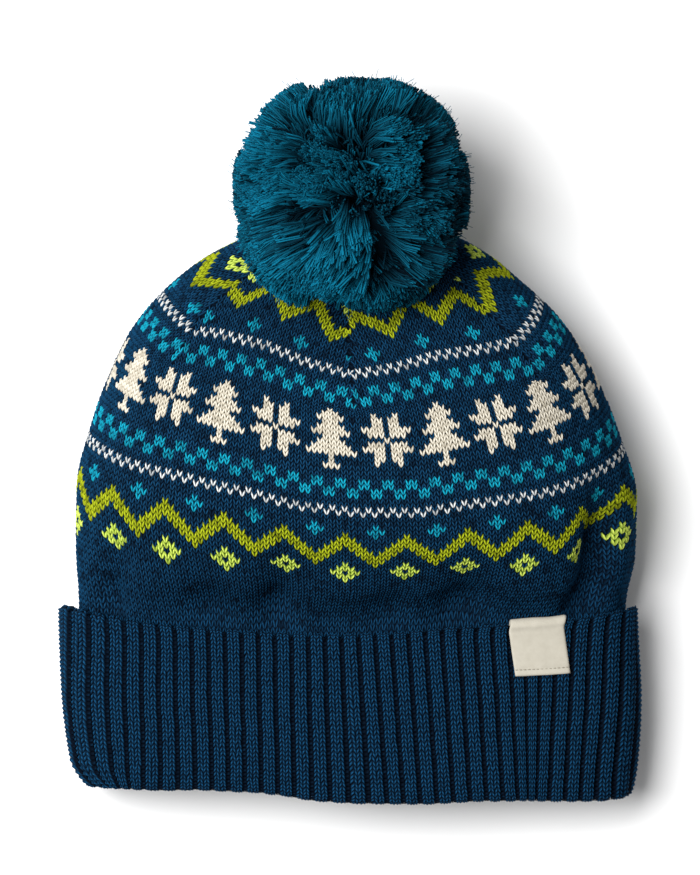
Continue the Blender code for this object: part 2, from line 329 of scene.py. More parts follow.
SECTIONS = (
    Section(0.000, 0.890, 0.940, 0.480, 0.270, 0.000, 0.020, 0.011),
    Section(0.050, 0.952, 0.962, 0.500, 0.285, 0.000, 0.026, 0.010),
    Section(0.160, 0.972, 0.976, 0.530, 0.300, 0.000, 0.033, 0.006),
    Section(0.320, 0.956, 0.962, 0.585, 0.320, 0.000, 0.042, 0.003),
    Section(0.420, 0.966, 0.996, 0.755, 0.350, 0.000, 0.066, 0.007),
    Section(0.520, 0.963, 0.998, 0.890, 0.375, 0.000, 0.093, 0.011),
    Section(0.630, 0.910, 0.938, 0.970, 0.390, 0.000, 0.110, 0.012),
    Section(0.730, 0.836, 0.855, 0.976, 0.400, 0.000, 0.117, 0.010),
    Section(0.790, 0.777, 0.784, 0.955, 0.405, 0.004, 0.117, 0.008),
    Section(0.840, 0.703, 0.703, 0.905, 0.410, 0.020, 0.112, 0.006),
    Section(0.890, 0.602, 0.588, 0.815, 0.415, 0.060, 0.098, 0.004),
    Section(0.930, 0.492, 0.485, 0.715, 0.420, 0.130, 0.077, 0.002),
    Section(0.965, 0.347, 0.347, 0.605, 0.424, 0.230, 0.048, 0.000),
    Section(0.990, 0.177, 0.177, 0.500, 0.424, 0.340, 0.020, 0.000),
    Section(1.000, 0.000, 0.000, 0.424, 0.424, 0.424, 0.000, 0.000),
)

DENTS = (
    Dent(-0.190, 0.345, 0.012, 0.045, 0.045),
    Dent(-0.055, 0.350, 0.022, 0.060, 0.030),
    Dent(0.060, 0.345, 0.025, 0.050, 0.012),
    Dent(0.198, 0.385, 0.014, 0.070, 0.055),
    Dent(0.110, 0.600, 0.010, 0.050, 0.014),
    Dent(0.085, 0.620, 0.008, 0.040, 0.010),
)


def smoothstep(x: np.ndarray) -> np.ndarray:
    """Rises smoothly from 0 below 0 to 1 above 1."""
    x = np.clip(x, 0.0, 1.0)
    return x * x * (3 - 2 * x)


def bell(x: np.ndarray) -> np.ndarray:
    """Falls smoothly from 1 at 0 towards 0 on both sides."""
    return np.exp(-(x**2))


def from_front(around: np.ndarray) -> np.ndarray:
    """Shares of the girth counted from the front's middle, from -0.5 to 0.5."""
    return np.mod(around, 1.0) - 0.5


@dataclass(frozen=True)
class Shift:
    """A row of a table of shifts: how far the cloth has moved, in metres, at a place."""

    place: float
    moved: float


def shift_at(table: tuple[Shift, ...], places: np.ndarray) -> np.ndarray:
    """Shifts at places, read between the rows of a table."""
    return np.interp(places, [row.place for row in table], [row.moved for row in table])


def through(x: float, xs: np.ndarray, ys: np.ndarray) -> float:
    """Reads a smooth curve through points, without overshoot.

    Args:
        x: Where the curve is read.
        xs: The points' places, rising.
        ys: The points' values.

    Returns:
        The curve's value.
    """
    steps = np.diff(xs)
    slopes = np.diff(ys) / steps
    tangents = np.zeros(len(xs))
    tangents[0], tangents[-1] = slopes[0], slopes[-1]
    for i in range(1, len(xs) - 1):
        if slopes[i - 1] * slopes[i] > 0:
            before, after = 2 * steps[i] + steps[i - 1], steps[i] + 2 * steps[i - 1]
            tangents[i] = (before + after) / (before / slopes[i - 1] + after / slopes[i])
    i = int(np.clip(np.searchsorted(xs, x) - 1, 0, len(steps) - 1))
    t = (x - xs[i]) / steps[i]
    return (
        (2 * t**3 - 3 * t**2 + 1) * ys[i]
        + (t**3 - 2 * t**2 + t) * steps[i] * tangents[i]
        + (3 * t**2 - 2 * t**3) * ys[i + 1]
        + (t**3 - t**2) * steps[i] * tangents[i + 1]
    )


@dataclass
class BodySurface:
    """The middle surface of the knitted wall, sampled on a fine grid of run (from the brim, along the side)
    by around (share of the girth from the middle of the back, leftwards to the front and back again)."""

    width: float = 226.0 * MM
    length: float = 229.0 * MM
    height: float = 85.0 * MM
    origin_share: float = 0.56
    squareness: float = 2.7
    press: float = 1.3
    drop_power: float = 1.3
    back_rise: float = 0.4
    floor_blend: float = 3.0 * MM
    least_blend: float = 1e-9
    tip_blend: float = 0.12
    tip_rings: int = 3
    cuff_depth: float = 74.0 * MM
    settle_length: float = 16.0 * MM
    rest_on_cuff: float = 5.85 * MM
    rest_on_floor: float = 1.25 * MM
    dart_count: int = 6
    dart_depth: float = 3.4 * MM
    dart_width: float = 9.0 * MM
    dart_start: float = 0.685
    dart_blend: float = 0.12
    dart_fade: float = 0.05
    dart_back_blend: float = 0.3
    straight_from: float = 30.0 * MM
    straight_half: float = 0.24
    straight_fade: float = 0.07
    front_from: float = 0.3
    front_to: float = 0.7
    front_steps: int = 600
    clearance: float = 0.05 * MM
    run_steps: int = 583
    around_steps: int = 720
    angle_steps: int = 1440

    def __post_init__(self) -> None:
        """Samples the surface, its normals and the girths."""
        names = [column.name for column in fields(Section)]
        self.table = {name: np.array([getattr(row, name) for row in SECTIONS]) for name in names}
        mean_half = (self.table["left"] + self.table["right"]) * self.width / 4
        chords = np.hypot(np.diff(self.table["along"]) * self.length, np.diff(mean_half))
        self.knots = np.concatenate([[0.0], np.cumsum(chords)])
        self.run_length = float(self.knots[-1])
        self.runs = np.linspace(0.0, self.run_length, self.run_steps)
        self.arounds = np.arange(self.around_steps) / self.around_steps
        rings, girths = zip(*(self.ring(run) for run in self.runs))
        smooth = np.stack(rings)
        self.girths = np.array(girths)
        sideways = np.roll(smooth, -1, axis=1) - np.roll(smooth, 1, axis=1)
        ahead = np.gradient(smooth, axis=0)
        normals = np.cross(sideways, ahead)
        lengths = np.linalg.norm(normals, axis=-1, keepdims=True)
        self.normals = normals / np.maximum(lengths, TINY)
        self.normals[-self.tip_rings :] = np.array([0.0, 1.0, 0.0])
        self.points = smooth - self.normals * self.sunk()[..., None]
        brim_slope = (self.points[2] - self.points[0]) / (self.runs[2] - self.runs[0])
        self.slopes = np.broadcast_to(brim_slope, self.points.shape)
        self.swing = self.swings()

    def outline(self, run: float, angle: np.ndarray) -> np.ndarray:
        """Points of the section at a run.

        Args:
            run: The run from the brim.
            angle: Angles from straight down, leftwards.

        Returns:
            The points, one row each.
        """
        at = {name: through(run, self.knots, column) for name, column in self.table.items()}
        power = 2 / self.squareness
        across = -np.sign(np.sin(angle)) * np.abs(np.sin(angle)) ** power
        up = -np.sign(np.cos(angle)) * np.abs(np.cos(angle)) ** power
        side, top = at["side"] * self.height, at["top"] * self.height
        settled = smoothstep((run - self.cuff_depth) / self.settle_length)
        sinking = (self.rest_on_floor - self.rest_on_cuff) * settled
        rest = self.rest_on_cuff + sinking + at["lift"] * self.height
        shut = smoothstep((self.run_length - run) / (self.tip_blend * self.run_length))
        press = 1 + (self.press - 1) * shut
        height = np.where(up > 0, side + (top - side) * up, side + (side - rest) * press * up)
        above = height - rest
        blend = self.floor_blend * shut + self.least_blend
        rounded = (above + blend) ** 2 / (4 * blend)
        eased = np.where(above > blend, above, np.where(above < -blend, 0.0, rounded))
        height = np.where(up > 0, height, rest + eased)
        x = across * self.width / 2 * np.where(across < 0, at["left"], at["right"])
        leaning = np.where(up > 0, -1.0, self.back_rise)
        ahead = np.abs(np.cos(angle)) ** self.drop_power * at["drop"] * leaning
        y = (at["along"] - self.origin_share + ahead - at["skew"] * across) * self.length
        return np.stack([x, y + np.zeros_like(x), height], axis=-1)

    def ring(self, run: float) -> tuple[np.ndarray, float]:
        """Points evenly spaced round the section at a run.

        Args:
            run: The run from the brim.

        Returns:
            The points and the length of the section.
        """
        angles = np.linspace(0, 2 * math.pi, self.angle_steps + 1)
        line = self.outline(run, angles)
        shares = np.concatenate([[0.0], np.cumsum(np.linalg.norm(np.diff(line, axis=0), axis=1))])
        girth = float(shares[-1])
        places = np.interp(self.arounds, shares / max(girth, TINY), angles)
        return self.outline(run, places), girth

    def sunk(self) -> np.ndarray:
        """How far the dents and darts push the wall in.

        Returns:
            The depths over the grid.
        """
        share = (self.runs / self.run_length)[:, None]
        around = self.arounds[None, :]
        depth = np.zeros((self.run_steps, self.around_steps))
        for dent in DENTS:
            sideways = (around - 0.5 - dent.around) / dent.width
            lengthways = (share - dent.along) / dent.length
            depth += dent.depth * self.height * np.exp(-(sideways**2) - lengthways**2)
        from_dart = np.abs(np.mod(around * self.dart_count + 0.5, 1.0) - 0.5)
        to_dart = from_dart * self.girths[:, None] / self.dart_count
        rising = smoothstep((share - self.dart_start) / self.dart_blend)
        front = smoothstep(0.5 - np.cos(around * 2 * math.pi) / self.dart_back_blend)
        fading = smoothstep((1 - share) / self.dart_fade)
        return depth + self.dart_depth * rising * front * fading * bell(to_dart / self.dart_width)

    def sample(self, grids: tuple[np.ndarray, ...], around: np.ndarray, run: np.ndarray) -> list[np.ndarray]:
        """Reads grids that cover the surface.

        Args:
            grids: The grids, by run and around.
            around: Shares of the girth.
            run: Runs from the brim.

        Returns:
            The values of each grid.
        """
        column = np.mod(around, 1.0) * self.around_steps
        left = np.floor(column).astype(int)
        across = (column - left)[..., None]
        left %= self.around_steps
        right = (left + 1) % self.around_steps
        row = np.clip(run / self.run_length, 0.0, 1.0) * (self.run_steps - 1)
        low = np.minimum(np.floor(row).astype(int), self.run_steps - 2)
        up = (row - low)[..., None]
        values = []
        for grid in grids:
            below = grid[low, left] * (1 - across) + grid[low, right] * across
            above = grid[low + 1, left] * (1 - across) + grid[low + 1, right] * across
            values.append(below * (1 - up) + above * up)
        return values

    def place(self, around: np.ndarray, run: np.ndarray, height: np.ndarray | float) -> np.ndarray:
        """Points over the surface.

        Args:
            around: Shares of the girth.
            run: Runs from the brim. A run below 0 goes on straight past the brim.
            height: Heights above the middle surface.

        Returns:
            The points, with the shape of around and one more axis, none of them under the floor.
        """
        point, normal, slope = self.sample((self.points, self.normals, self.slopes), around, run)
        placed = point + np.minimum(run, 0.0)[..., None] * slope + normal * np.asarray(height)[..., None]
        placed[..., 2] = np.maximum(placed[..., 2], self.clearance)
        return placed

    def straight(self, around: np.ndarray, run: np.ndarray) -> np.ndarray:
        """Shares of the girth, at runs, moved so that lines along the front run straight on to the brim."""
        return around + self.sample((self.swing,), around, run)[0][..., 0]

    def swings(self) -> np.ndarray:
        """How far shares of the girth move so that lines near the brim run straight.

        Returns:
            The moves over the grid.
        """
        swing = np.zeros((self.run_steps, self.around_steps, 1))
        front = np.flatnonzero(np.abs(self.arounds - 0.5) < self.straight_half)
        reference = int(self.straight_from / self.run_length * (self.run_steps - 1))
        kept = smoothstep((self.straight_half - np.abs(self.arounds[front] - 0.5)) / self.straight_fade)
        lines = self.points[reference, front, 0]
        for i in range(reference):
            places = np.interp(lines, self.points[i, front, 0], self.arounds[front])
            swing[i, front, 0] = (places - self.arounds[front]) * kept
        return swing

    def girth_at(self, run: np.ndarray) -> np.ndarray:
        """Lengths round the sections at some runs."""
        return np.interp(run, self.runs, self.girths)

    def around_at(self, run: float, across: np.ndarray, height: float) -> np.ndarray:
        """Where the front of the wall is at places across.

        Args:
            run: The run from the brim.
            across: Places in metres to the right of the middle.
            height: The height above the middle surface.

        Returns:
            The shares of the girth.
        """
        around = np.linspace(self.front_from, self.front_to, self.front_steps)
        return np.interp(across, self.place(around, np.full_like(around, run), height)[:, 0], around)


def add_piece(
    name: str,
    points: np.ndarray,
    faces: list[np.ndarray],
    material: bpy.types.Material,
    slot: Slot,
    tone: np.ndarray | None = None,
    uv: np.ndarray | None = None,
) -> bpy.types.Object:
    """Makes a smooth-shaded mesh piece that rides on the hat.

    Args:
        name: The piece's name.
        points: Its points, one row each.
        faces: Arrays of faces, one row each, which may differ in their number of corners.
        material: Its material.
        slot: The record's slot that the material belongs to; not used.
        tone: For each point, how bright its fibres are, from 0 to 1.
        uv: For each point, its column and row of stitches.

    Returns:
        The piece.
    """
    mesh = bpy.data.meshes.new(name)
    corners = np.concatenate([block.ravel() for block in faces]).astype(np.int32)
    sizes = np.concatenate([np.full(len(block), block.shape[1]) for block in faces])
    starts = np.concatenate([[0], np.cumsum(sizes)[:-1]]).astype(np.int32)
    mesh.vertices.add(len(points))
    mesh.vertices.foreach_set("co", points.astype(np.float32).ravel())
    mesh.loops.add(len(corners))
    mesh.loops.foreach_set("vertex_index", corners)
    mesh.polygons.add(len(sizes))
    mesh.polygons.foreach_set("loop_start", starts)
    mesh.update(calc_edges=True)
    mesh.polygons.foreach_set("use_smooth", np.ones(len(sizes), dtype=bool))
    shades = np.full(len(points), 0.5) if tone is None else tone
    mesh.attributes.new(TONE, "FLOAT", "POINT").data.foreach_set("value", shades.astype(np.float32))
    if uv is not None:
        mesh.uv_layers.new(name=STITCH_UV).data.foreach_set("uv", uv[corners].astype(np.float32).ravel())
    mesh.materials.append(material)
    piece = bpy.data.objects.new(name, mesh)
    bpy.context.scene.collection.objects.link(piece)
    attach(piece, ROOT_BODY)
    log.info("%s: %d triangles", name, int((sizes - 2).sum()))
    return piece


def grid_faces(rows: int, columns: int, wrap_columns: bool, wrap_rows: bool = False) -> np.ndarray:
    """Quads of a grid of points that is stored row by row.

    Args:
        rows: Number of rows of points.
        columns: Number of points in a row.
        wrap_columns: Whether the last column joins the first.
        wrap_rows: Whether the last row joins the first.

    Returns:
        The quads.
    """
    row = np.arange(rows if wrap_rows else rows - 1)[:, None]
    column = np.arange(columns if wrap_columns else columns - 1)[None, :]
    above, right = (row + 1) % rows, (column + 1) % columns
    corners = ((row, column), (row, right), (above, right), (above, column))
    return np.stack([(line * columns + place).ravel() for line, place in corners], axis=-1)


def repeated(faces: np.ndarray, copies: int, points: int) -> np.ndarray:
    """Faces of copies of a part, from the first copy's faces and the number of points in each copy."""
    return (faces[None] + (np.arange(copies) * points)[:, None, None]).reshape(-1, faces.shape[1])


@dataclass
class MeshParts:
    """Points, quads and tones that are gathered into one piece."""

    points: list[np.ndarray] = field(default_factory=list)
    quads: list[np.ndarray] = field(default_factory=list)
    tones: list[np.ndarray] = field(default_factory=list)

    def add(self, points: np.ndarray, quads: np.ndarray, tone: np.ndarray) -> None:
        """Adds a part.

        Args:
            points: Its points, one row each.
            quads: Its quads, which count from its own first point.
            tone: The tone of each point.
        """
        self.quads.append(quads + sum(len(block) for block in self.points))
        self.points.append(points)
        self.tones.append(tone)

    def piece(self, name: str, material: bpy.types.Material, slot: Slot) -> bpy.types.Object:
        """Makes the piece.

        Args:
            name: The piece's name.
            material: Its material.
            slot: The record's slot that the material belongs to.

        Returns:
            The piece.
        """
        points, quads = np.concatenate(self.points), np.concatenate(self.quads)
        return add_piece(name, points, [quads], material, slot, np.concatenate(self.tones))


@dataclass(frozen=True)
class LegRing:
    """A ring across a leg of a stitch: v up the stitch in rows, u out from its middle and half its width in
    stitches, rise of its ridge and of its edges in metres, and the tone of its ridge's fibres, which paints
    shade at the leg's tucked ends and light along its middle."""

    v: float
    u: float
    half: float
    rise: float
    edge: float
    tone: float


# The tones paint shade at the legs' tucked ends and, with the dark edges, between the legs, and paint the
# ridges lit.
KNIT_LEG = (
    LegRing(-0.26, 0.040, 0.14, -0.30 * MM, -0.50 * MM, 0.10),
    LegRing(0.12, 0.135, 0.22, 0.46 * MM, -0.28 * MM, 0.82),
    LegRing(0.76, 0.320, 0.23, 0.62 * MM, -0.20 * MM, 0.98),
    LegRing(1.24, 0.440, 0.12, -0.15 * MM, -0.45 * MM, 0.30),
)

PLAIN_LEG = (
    LegRing(-0.26, 0.050, 0.14, -0.30 * MM, -0.50 * MM, 0.15),
    LegRing(0.45, 0.235, 0.25, 0.66 * MM, -0.22 * MM, 1.00),
    LegRing(1.24, 0.430, 0.13, -0.12 * MM, -0.42 * MM, 0.35),
)


@dataclass
class StitchField:
    """Stitches as pairs of uneven yarn legs."""

    count: int
    seed: int
    unevenness: float = 0.035
    heather: float = 0.16
    # Painted shade at the legs' edges, where they meet.
    leg_edge_painted_shade: float = 0.0
    leg: tuple[LegRing, ...] = KNIT_LEG

    def build(
        self, where: Callable[[np.ndarray, np.ndarray, np.ndarray], np.ndarray], turned: bool = False
    ) -> tuple[np.ndarray, np.ndarray, np.ndarray]:
        """Makes the stitches' points, quads and tones.

        Args:
            where: Maps u, v and height within each stitch to points, in arrays with a row for each stitch.
            turned: Whether rows run the other way over the surface, which turns the faces round.

        Returns:
            The points, the quads and the tone of each point.
        """
        chance = np.random.default_rng(self.seed)
        count = self.count
        local, quads = self.template()
        u, v, height, shade = (np.repeat(local[None, :, i], count, axis=0) for i in range(4))
        shift = chance.normal(0.0, self.unevenness, (count, 2))
        swell = 1 + chance.normal(0.0, 2 * self.unevenness, (count, 1))
        points = where(u + shift[:, :1], v + shift[:, 1:], height * swell)
        faces = repeated(quads, count, len(local))
        tone = shade * (1 + chance.normal(0.0, self.heather, (count, 1)))
        return points.reshape(-1, 3), faces[:, ::-1] if turned else faces, np.clip(tone, 0, 1).ravel()

    def template(self) -> tuple[np.ndarray, np.ndarray]:
        """Makes the two legs of one stitch.

        Returns:
            Their points, as rows of u, v, height and tone, and their quads.
        """
        points = []
        for side in (-1, 1):
            for ring in self.leg:
                edge, ridge = (ring.edge, self.leg_edge_painted_shade), (ring.rise, ring.tone)
                for across, (rise, tone) in ((-1, edge), (0, ridge), (1, edge)):
                    points.append((side * ring.u + across * ring.half, ring.v, rise, tone))
        per_leg = len(points) // 2
        quads = grid_faces(len(self.leg), per_leg // len(self.leg), False)
        return np.array(points), repeated(quads, 2, per_leg)


@dataclass
class Chart:
    """The pattern that is knitted round the crown, on a repeat of ten stitches, twenty for the cream motifs.

    Row 0 is the lowest row of the lower zigzag. Each band is given by its lowest row.
    """

    repeat: int = 10
    peak_column: int = 107
    tree_column: int = 105
    diamond_row: int = -4
    zigzag_row: int = 0
    plus_row: int = 7
    dots_row: int = 12
    checks_row: int = 16
    motif_row: int = 22
    upper_checks_row: int = 37
    upper_dots_row: int = 43
    upper_plus_row: int = 46
    upper_zigzag_row: int = 50
    upper_diamond_row: int = 57
    zigzag_height: int = 5
    zigzag_thick: int = 3
    diamond_reach: int = 2
    plus_reach: int = 1
    check_size: int = 2
    tree: tuple[str, ...] = (
        "....X....",
        "...XXX...",
        "..XXXXX..",
        "...XXX...",
        "..XXXXX..",
        ".XXXXXXX.",
        "...XXX...",
        "..XXXXX..",
        ".XXXXXXX.",
        "XXXXXXXXX",
        "....X....",
        "....X....",
        "...XXX...",
    )
    star: tuple[str, ...] = (
        "..X...X..",
        "..XX.XX..",
        "..XX.XX..",
        "XXXX.XXXX",
        ".XXX.XXX.",
        "....X....",
        ".XXX.XXX.",
        "XXXX.XXXX",
        "..XX.XX..",
        "..XX.XX..",
        "..X...X..",
    )

    def yarns(self, column: np.ndarray, row: np.ndarray) -> np.ndarray:
        """The yarn of each stitch.

        Args:
            column: The stitches' columns round the hat.
            row: Their rows.

        Returns:
            The yarns' numbers.
        """
        half = self.repeat // 2
        offset = np.mod(column - self.peak_column + half, self.repeat) - half
        from_peak = np.abs(offset)
        from_valley = half - from_peak
        yarn = np.full(len(column), Yarn.NAVY.value)
        for low, centre in ((self.diamond_row, from_peak), (self.upper_diamond_row, from_valley)):
            yarn[self.diamond(centre, row - low)] = Yarn.YELLOW_GREEN.value
        for low in (self.zigzag_row, self.upper_zigzag_row):
            above = row - low - (self.zigzag_height - from_peak)
            yarn[(above >= 0) & (above < self.zigzag_thick)] = Yarn.LIME.value
        for low, centre in ((self.plus_row, from_valley), (self.upper_plus_row, from_peak)):
            reach = self.plus_reach - np.abs(row - low - self.plus_reach)
            yarn[centre <= np.where(reach >= 0, reach, -1)] = Yarn.TEAL.value
        for low in (self.dots_row, self.upper_dots_row):
            yarn[row - low == column % 2] = Yarn.WHITE.value
        for low in (self.checks_row, self.upper_checks_row):
            above = row - low
            filled = above // self.check_size == (column // self.check_size) % 2
            yarn[(above >= 0) & (above < 2 * self.check_size) & filled] = Yarn.TEAL.value
        yarn[self.motifs(column, row - self.motif_row)] = Yarn.CREAM.value
        return yarn

    def diamond(self, centre: np.ndarray, above: np.ndarray) -> np.ndarray:
        """Whether stitches, at columns from its centre and rows above its lowest, are in a hollow diamond."""
        away = np.abs(above - self.diamond_reach) + centre
        return (away > 0) & (away <= self.diamond_reach)

    def motifs(self, column: np.ndarray, above: np.ndarray) -> np.ndarray:
        """Whether stitches are in the cream trees and stars, which take turns.

        Args:
            column: The stitches' columns.
            above: Their rows above the band's lowest.

        Returns:
            True for each stitch in one.
        """
        inside = np.zeros(len(column), dtype=bool)
        for rows, middle in ((self.tree, self.tree_column), (self.star, self.tree_column + self.repeat)):
            picture = np.array([[mark == "X" for mark in line] for line in rows[::-1]])
            high, wide = picture.shape
            left = np.mod(column - middle + wide // 2, 2 * self.repeat)
            low = above - (len(self.tree) - high) // 2
            fits = (left < wide) & (low >= 0) & (low < high)
            inside[fits] |= picture[low[fits], left[fits]]
        return inside


# How far the pattern's rows have slid towards the tip, by share of the girth from the front's middle.
ROW_SHIFTS = (
    Shift(-0.50, 2.5 * MM),
    Shift(-0.30, 2.5 * MM),
    Shift(-0.24, 3.2 * MM),
    Shift(-0.19, 5.2 * MM),
    Shift(-0.14, 8.0 * MM),
    Shift(-0.085, 6.6 * MM),
    Shift(-0.045, 2.2 * MM),
    Shift(0.0, 0.0 * MM),
    Shift(0.045, 0.4 * MM),
    Shift(0.085, 3.4 * MM),
    Shift(0.14, 3.4 * MM),
    Shift(0.20, 3.6 * MM),
    Shift(0.25, 4.5 * MM),
    Shift(0.30, 2.5 * MM),
    Shift(0.50, 2.5 * MM),
)


@dataclass(frozen=True)
class Crease:
    """A crease of the crown where it runs into the cuff: its place and half its width as shares of the girth,
    from the front's middle, its depth, and the run at which it starts to fade."""

    around: float
    width: float
    depth: float
    end: float


CREASES = (
    Crease(-0.204, 0.013, 11.0 * MM, 68 * MM),
    Crease(-0.118, 0.022, 5.0 * MM, 80 * MM),
    Crease(-0.066, 0.016, 9.0 * MM, 76 * MM),
    Crease(0.028, 0.020, 5.0 * MM, 78 * MM),
    Crease(0.084, 0.025, 10.5 * MM, 78 * MM),
    Crease(0.189, 0.018, 11.0 * MM, 108 * MM),
    Crease(0.235, 0.012, 3.0 * MM, 90 * MM),
)


@dataclass
class Crown:
    """The patterned crown: a wall of knit and every stitch on its outside."""

    surface: BodySurface
    chart: Chart
    finishes: Finishes
    stitches_round: int = 220
    first_row: int = -20
    last_row: int = 74
    row_pitch: float = 2.12 * MM
    row_zero_run: float = 110.2 * MM
    petals: int = 6
    dart_row: int = 35
    dart_rows: int = 4
    dart_dip: float = 0.62
    slide_from: int = -15
    slide_rows: int = 26
    slide_tip_rows: int = 20
    stitch_height: float = 0.95 * MM
    wall_out: float = 0.55 * MM
    wall_in: float = -1.25 * MM
    wall_start: float = 57.8 * MM
    wall_columns: int = 144
    wall_rings: int = 50
    tip_hole: float = 6.0 * MM
    crease_fade: float = 44.0 * MM
    crease_start: float = 30.0 * MM
    tuck: float = 3.4 * MM
    tuck_from: float = 78.0 * MM
    tuck_fade: float = 24.0 * MM
    tuck_half: float = 0.19
    tuck_side_fade: float = 0.07
    front_share: float = 0.29
    piece_limit: int = 7200
    seed: int = 11

    def row_run(self, row: np.ndarray) -> np.ndarray:
        """Runs from the brim of rows."""
        return self.row_zero_run + row * self.row_pitch

    def petal_width(self, row: np.ndarray) -> np.ndarray:
        """Counts the stitches across a petal, which lies between two darts.

        Args:
            row: Rows, which may be fractions.

        Returns:
            The number of stitches at each row.
        """
        start = self.surface.girth_at(np.array(self.row_run(self.dart_row)))
        share = self.surface.girth_at(self.row_run(row)) / start
        return self.stitches_round / self.petals * np.where(row > self.dart_row, np.minimum(share, 1.0), 1.0)

    def locate(self, column: np.ndarray, row: np.ndarray, petal: np.ndarray) -> tuple[np.ndarray, np.ndarray]:
        """Where stitches lie on the body.

        Args:
            column: Columns round the hat, which may be fractions.
            row: Rows, which may be fractions.
            petal: The petal that each belongs to.

        Returns:
            The shares of the girth and the runs from the brim.
        """
        full = self.stitches_round / self.petals
        inside = column - (petal + 0.5) * full
        around = (petal + 0.5 + inside / self.petal_width(row)) / self.petals
        run = self.row_run(row)
        gauge = self.surface.girth_at(np.array(self.row_run(self.dart_row))) / self.stitches_round
        to_tip = np.maximum(self.surface.run_length - run, 0.0)
        dip = np.sqrt(to_tip**2 + (inside * gauge) ** 2) - to_tip
        darted = smoothstep((row - self.dart_row + self.dart_rows / 2) / self.dart_rows)
        above, below = row - self.slide_from, self.last_row - row
        settled = smoothstep(above / self.slide_rows) * smoothstep(below / self.slide_tip_rows)
        slid = shift_at(ROW_SHIFTS, from_front(around))
        return around, run + slid * settled - self.dart_dip * dip * darted

    def creased(self, around: np.ndarray, run: np.ndarray) -> np.ndarray:
        """How far the creases, and the cuff's pull near its edge, push the crown in.

        Args:
            around: Shares of the girth.
            run: Runs from the brim.

        Returns:
            The depths.
        """
        aside = from_front(around)
        front = smoothstep((self.tuck_half - np.abs(aside)) / self.tuck_side_fade)
        depth = self.tuck * front * smoothstep((self.tuck_from + self.tuck_fade - run) / self.tuck_fade)
        for crease in CREASES:
            reach = smoothstep((crease.end + self.crease_fade - run) / self.crease_fade)
            depth += crease.depth * bell((aside - crease.around) / crease.width) * reach
        return depth * smoothstep((run - self.wall_start) / self.crease_start)

    def build_stitches(self) -> None:
        """Knits the outside, one piece for each yarn and several for the navy."""
        rows = np.arange(self.first_row, self.last_row)
        column, row = (grid.ravel() for grid in np.meshgrid(np.arange(self.stitches_round), rows))
        petal = (column + 0.5) * self.petals // self.stitches_round
        from_centre = np.abs(column + 0.5 - (petal + 0.5) * self.stitches_round / self.petals)
        kept = from_centre <= self.petal_width(row + 0.5) / 2
        column, row, petal = column[kept], row[kept], petal[kept]
        yarns = self.chart.yarns(column, row)
        made = {
            Yarn.NAVY: self.finishes.navy,
            Yarn.TEAL: self.finishes.teal,
            Yarn.LIME: self.finishes.lime,
            Yarn.YELLOW_GREEN: self.finishes.yellow_green,
            Yarn.WHITE: self.finishes.white,
            Yarn.CREAM: self.finishes.cream,
        }
        for yarn, finish in made.items():
            chosen = np.flatnonzero(yarns == yarn.value)
            material = finish.material()
            parts = math.ceil(len(chosen) / self.piece_limit)
            for part, share in enumerate(np.array_split(chosen, parts)):
                name = f"crown_{yarn.name.lower()}_stitches" + (f"_{part + 1}" if parts > 1 else "")
                self.add_stitches(name, column[share], row[share], petal[share], material, yarn.value + part)

    def add_stitches(
        self,
        name: str,
        column: np.ndarray,
        row: np.ndarray,
        petal: np.ndarray,
        material: bpy.types.Material,
        turn: int,
    ) -> None:
        """Adds one piece of stitches.

        Args:
            name: The piece's name.
            column: The stitches' columns.
            row: Their rows.
            petal: Their petals.
            material: Their yarn's material.
            turn: A number that sets their unevenness apart from other pieces'.
        """
        parts = MeshParts()
        in_front = np.abs(column / self.stitches_round - 0.5) < self.front_share
        for leg, chosen in ((KNIT_LEG, in_front), (PLAIN_LEG, ~in_front)):
            columns, rows, petals = column[chosen], row[chosen], petal[chosen]

            def where(u: np.ndarray, v: np.ndarray, height: np.ndarray) -> np.ndarray:
                """Maps places within the stitches to points.

                Args:
                    u: Places across each stitch, from its middle.
                    v: Places up each stitch, in rows.
                    height: Heights above the stitches' base.

                Returns:
                    The points.
                """
                around, run = self.locate(columns[:, None] + 0.5 + u, rows[:, None] + v, petals[:, None])
                raised = self.stitch_height + height - self.creased(around, run)
                return self.surface.place(around, run, raised)

            parts.add(*StitchField(len(columns), self.seed + turn, leg=leg).build(where))
        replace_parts(parts.piece(name, material, Slot.CROWN), "crown")

    def build_wall(self) -> None:
        """The wall behind the stitches, whose inside shows the reverse of the knit."""
        around = np.arange(self.wall_columns) / self.wall_columns
        runs = np.linspace(self.wall_start, self.surface.run_length - self.tip_hole, self.wall_rings)
        path = [(run, self.wall_out) for run in runs[::-1]] + [(run, self.wall_in) for run in runs]
        rings = []
        for run, height in path:
            runs_round = np.full_like(around, run)
            rings.append(self.surface.place(around, runs_round, height - self.creased(around, runs_round)))
        points = np.concatenate(rings)
        columns = np.tile(around * self.stitches_round, len(path))
        rows = np.repeat([(run - self.row_zero_run) / self.row_pitch for run, _ in path], self.wall_columns)
        quads = grid_faces(len(path), self.wall_columns, True, wrap_rows=True)
        finish = ReverseKnitFinish(self.finishes.navy)
        # The outer face, behind the stitches, gets painted shade.
        tones = [finish.outside if height > 0 else finish.inside for _, height in path]
        tone = np.repeat(tones, self.wall_columns)
        uv = np.stack([columns, rows], axis=-1)
        piece = add_piece("crown_wall", points, [quads[:, ::-1]], finish.material(), Slot.CROWN, tone, uv)
        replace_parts(piece, "crown")

    def build(self) -> None:
        """Builds the crown."""
        self.build_wall()
        self.build_stitches()


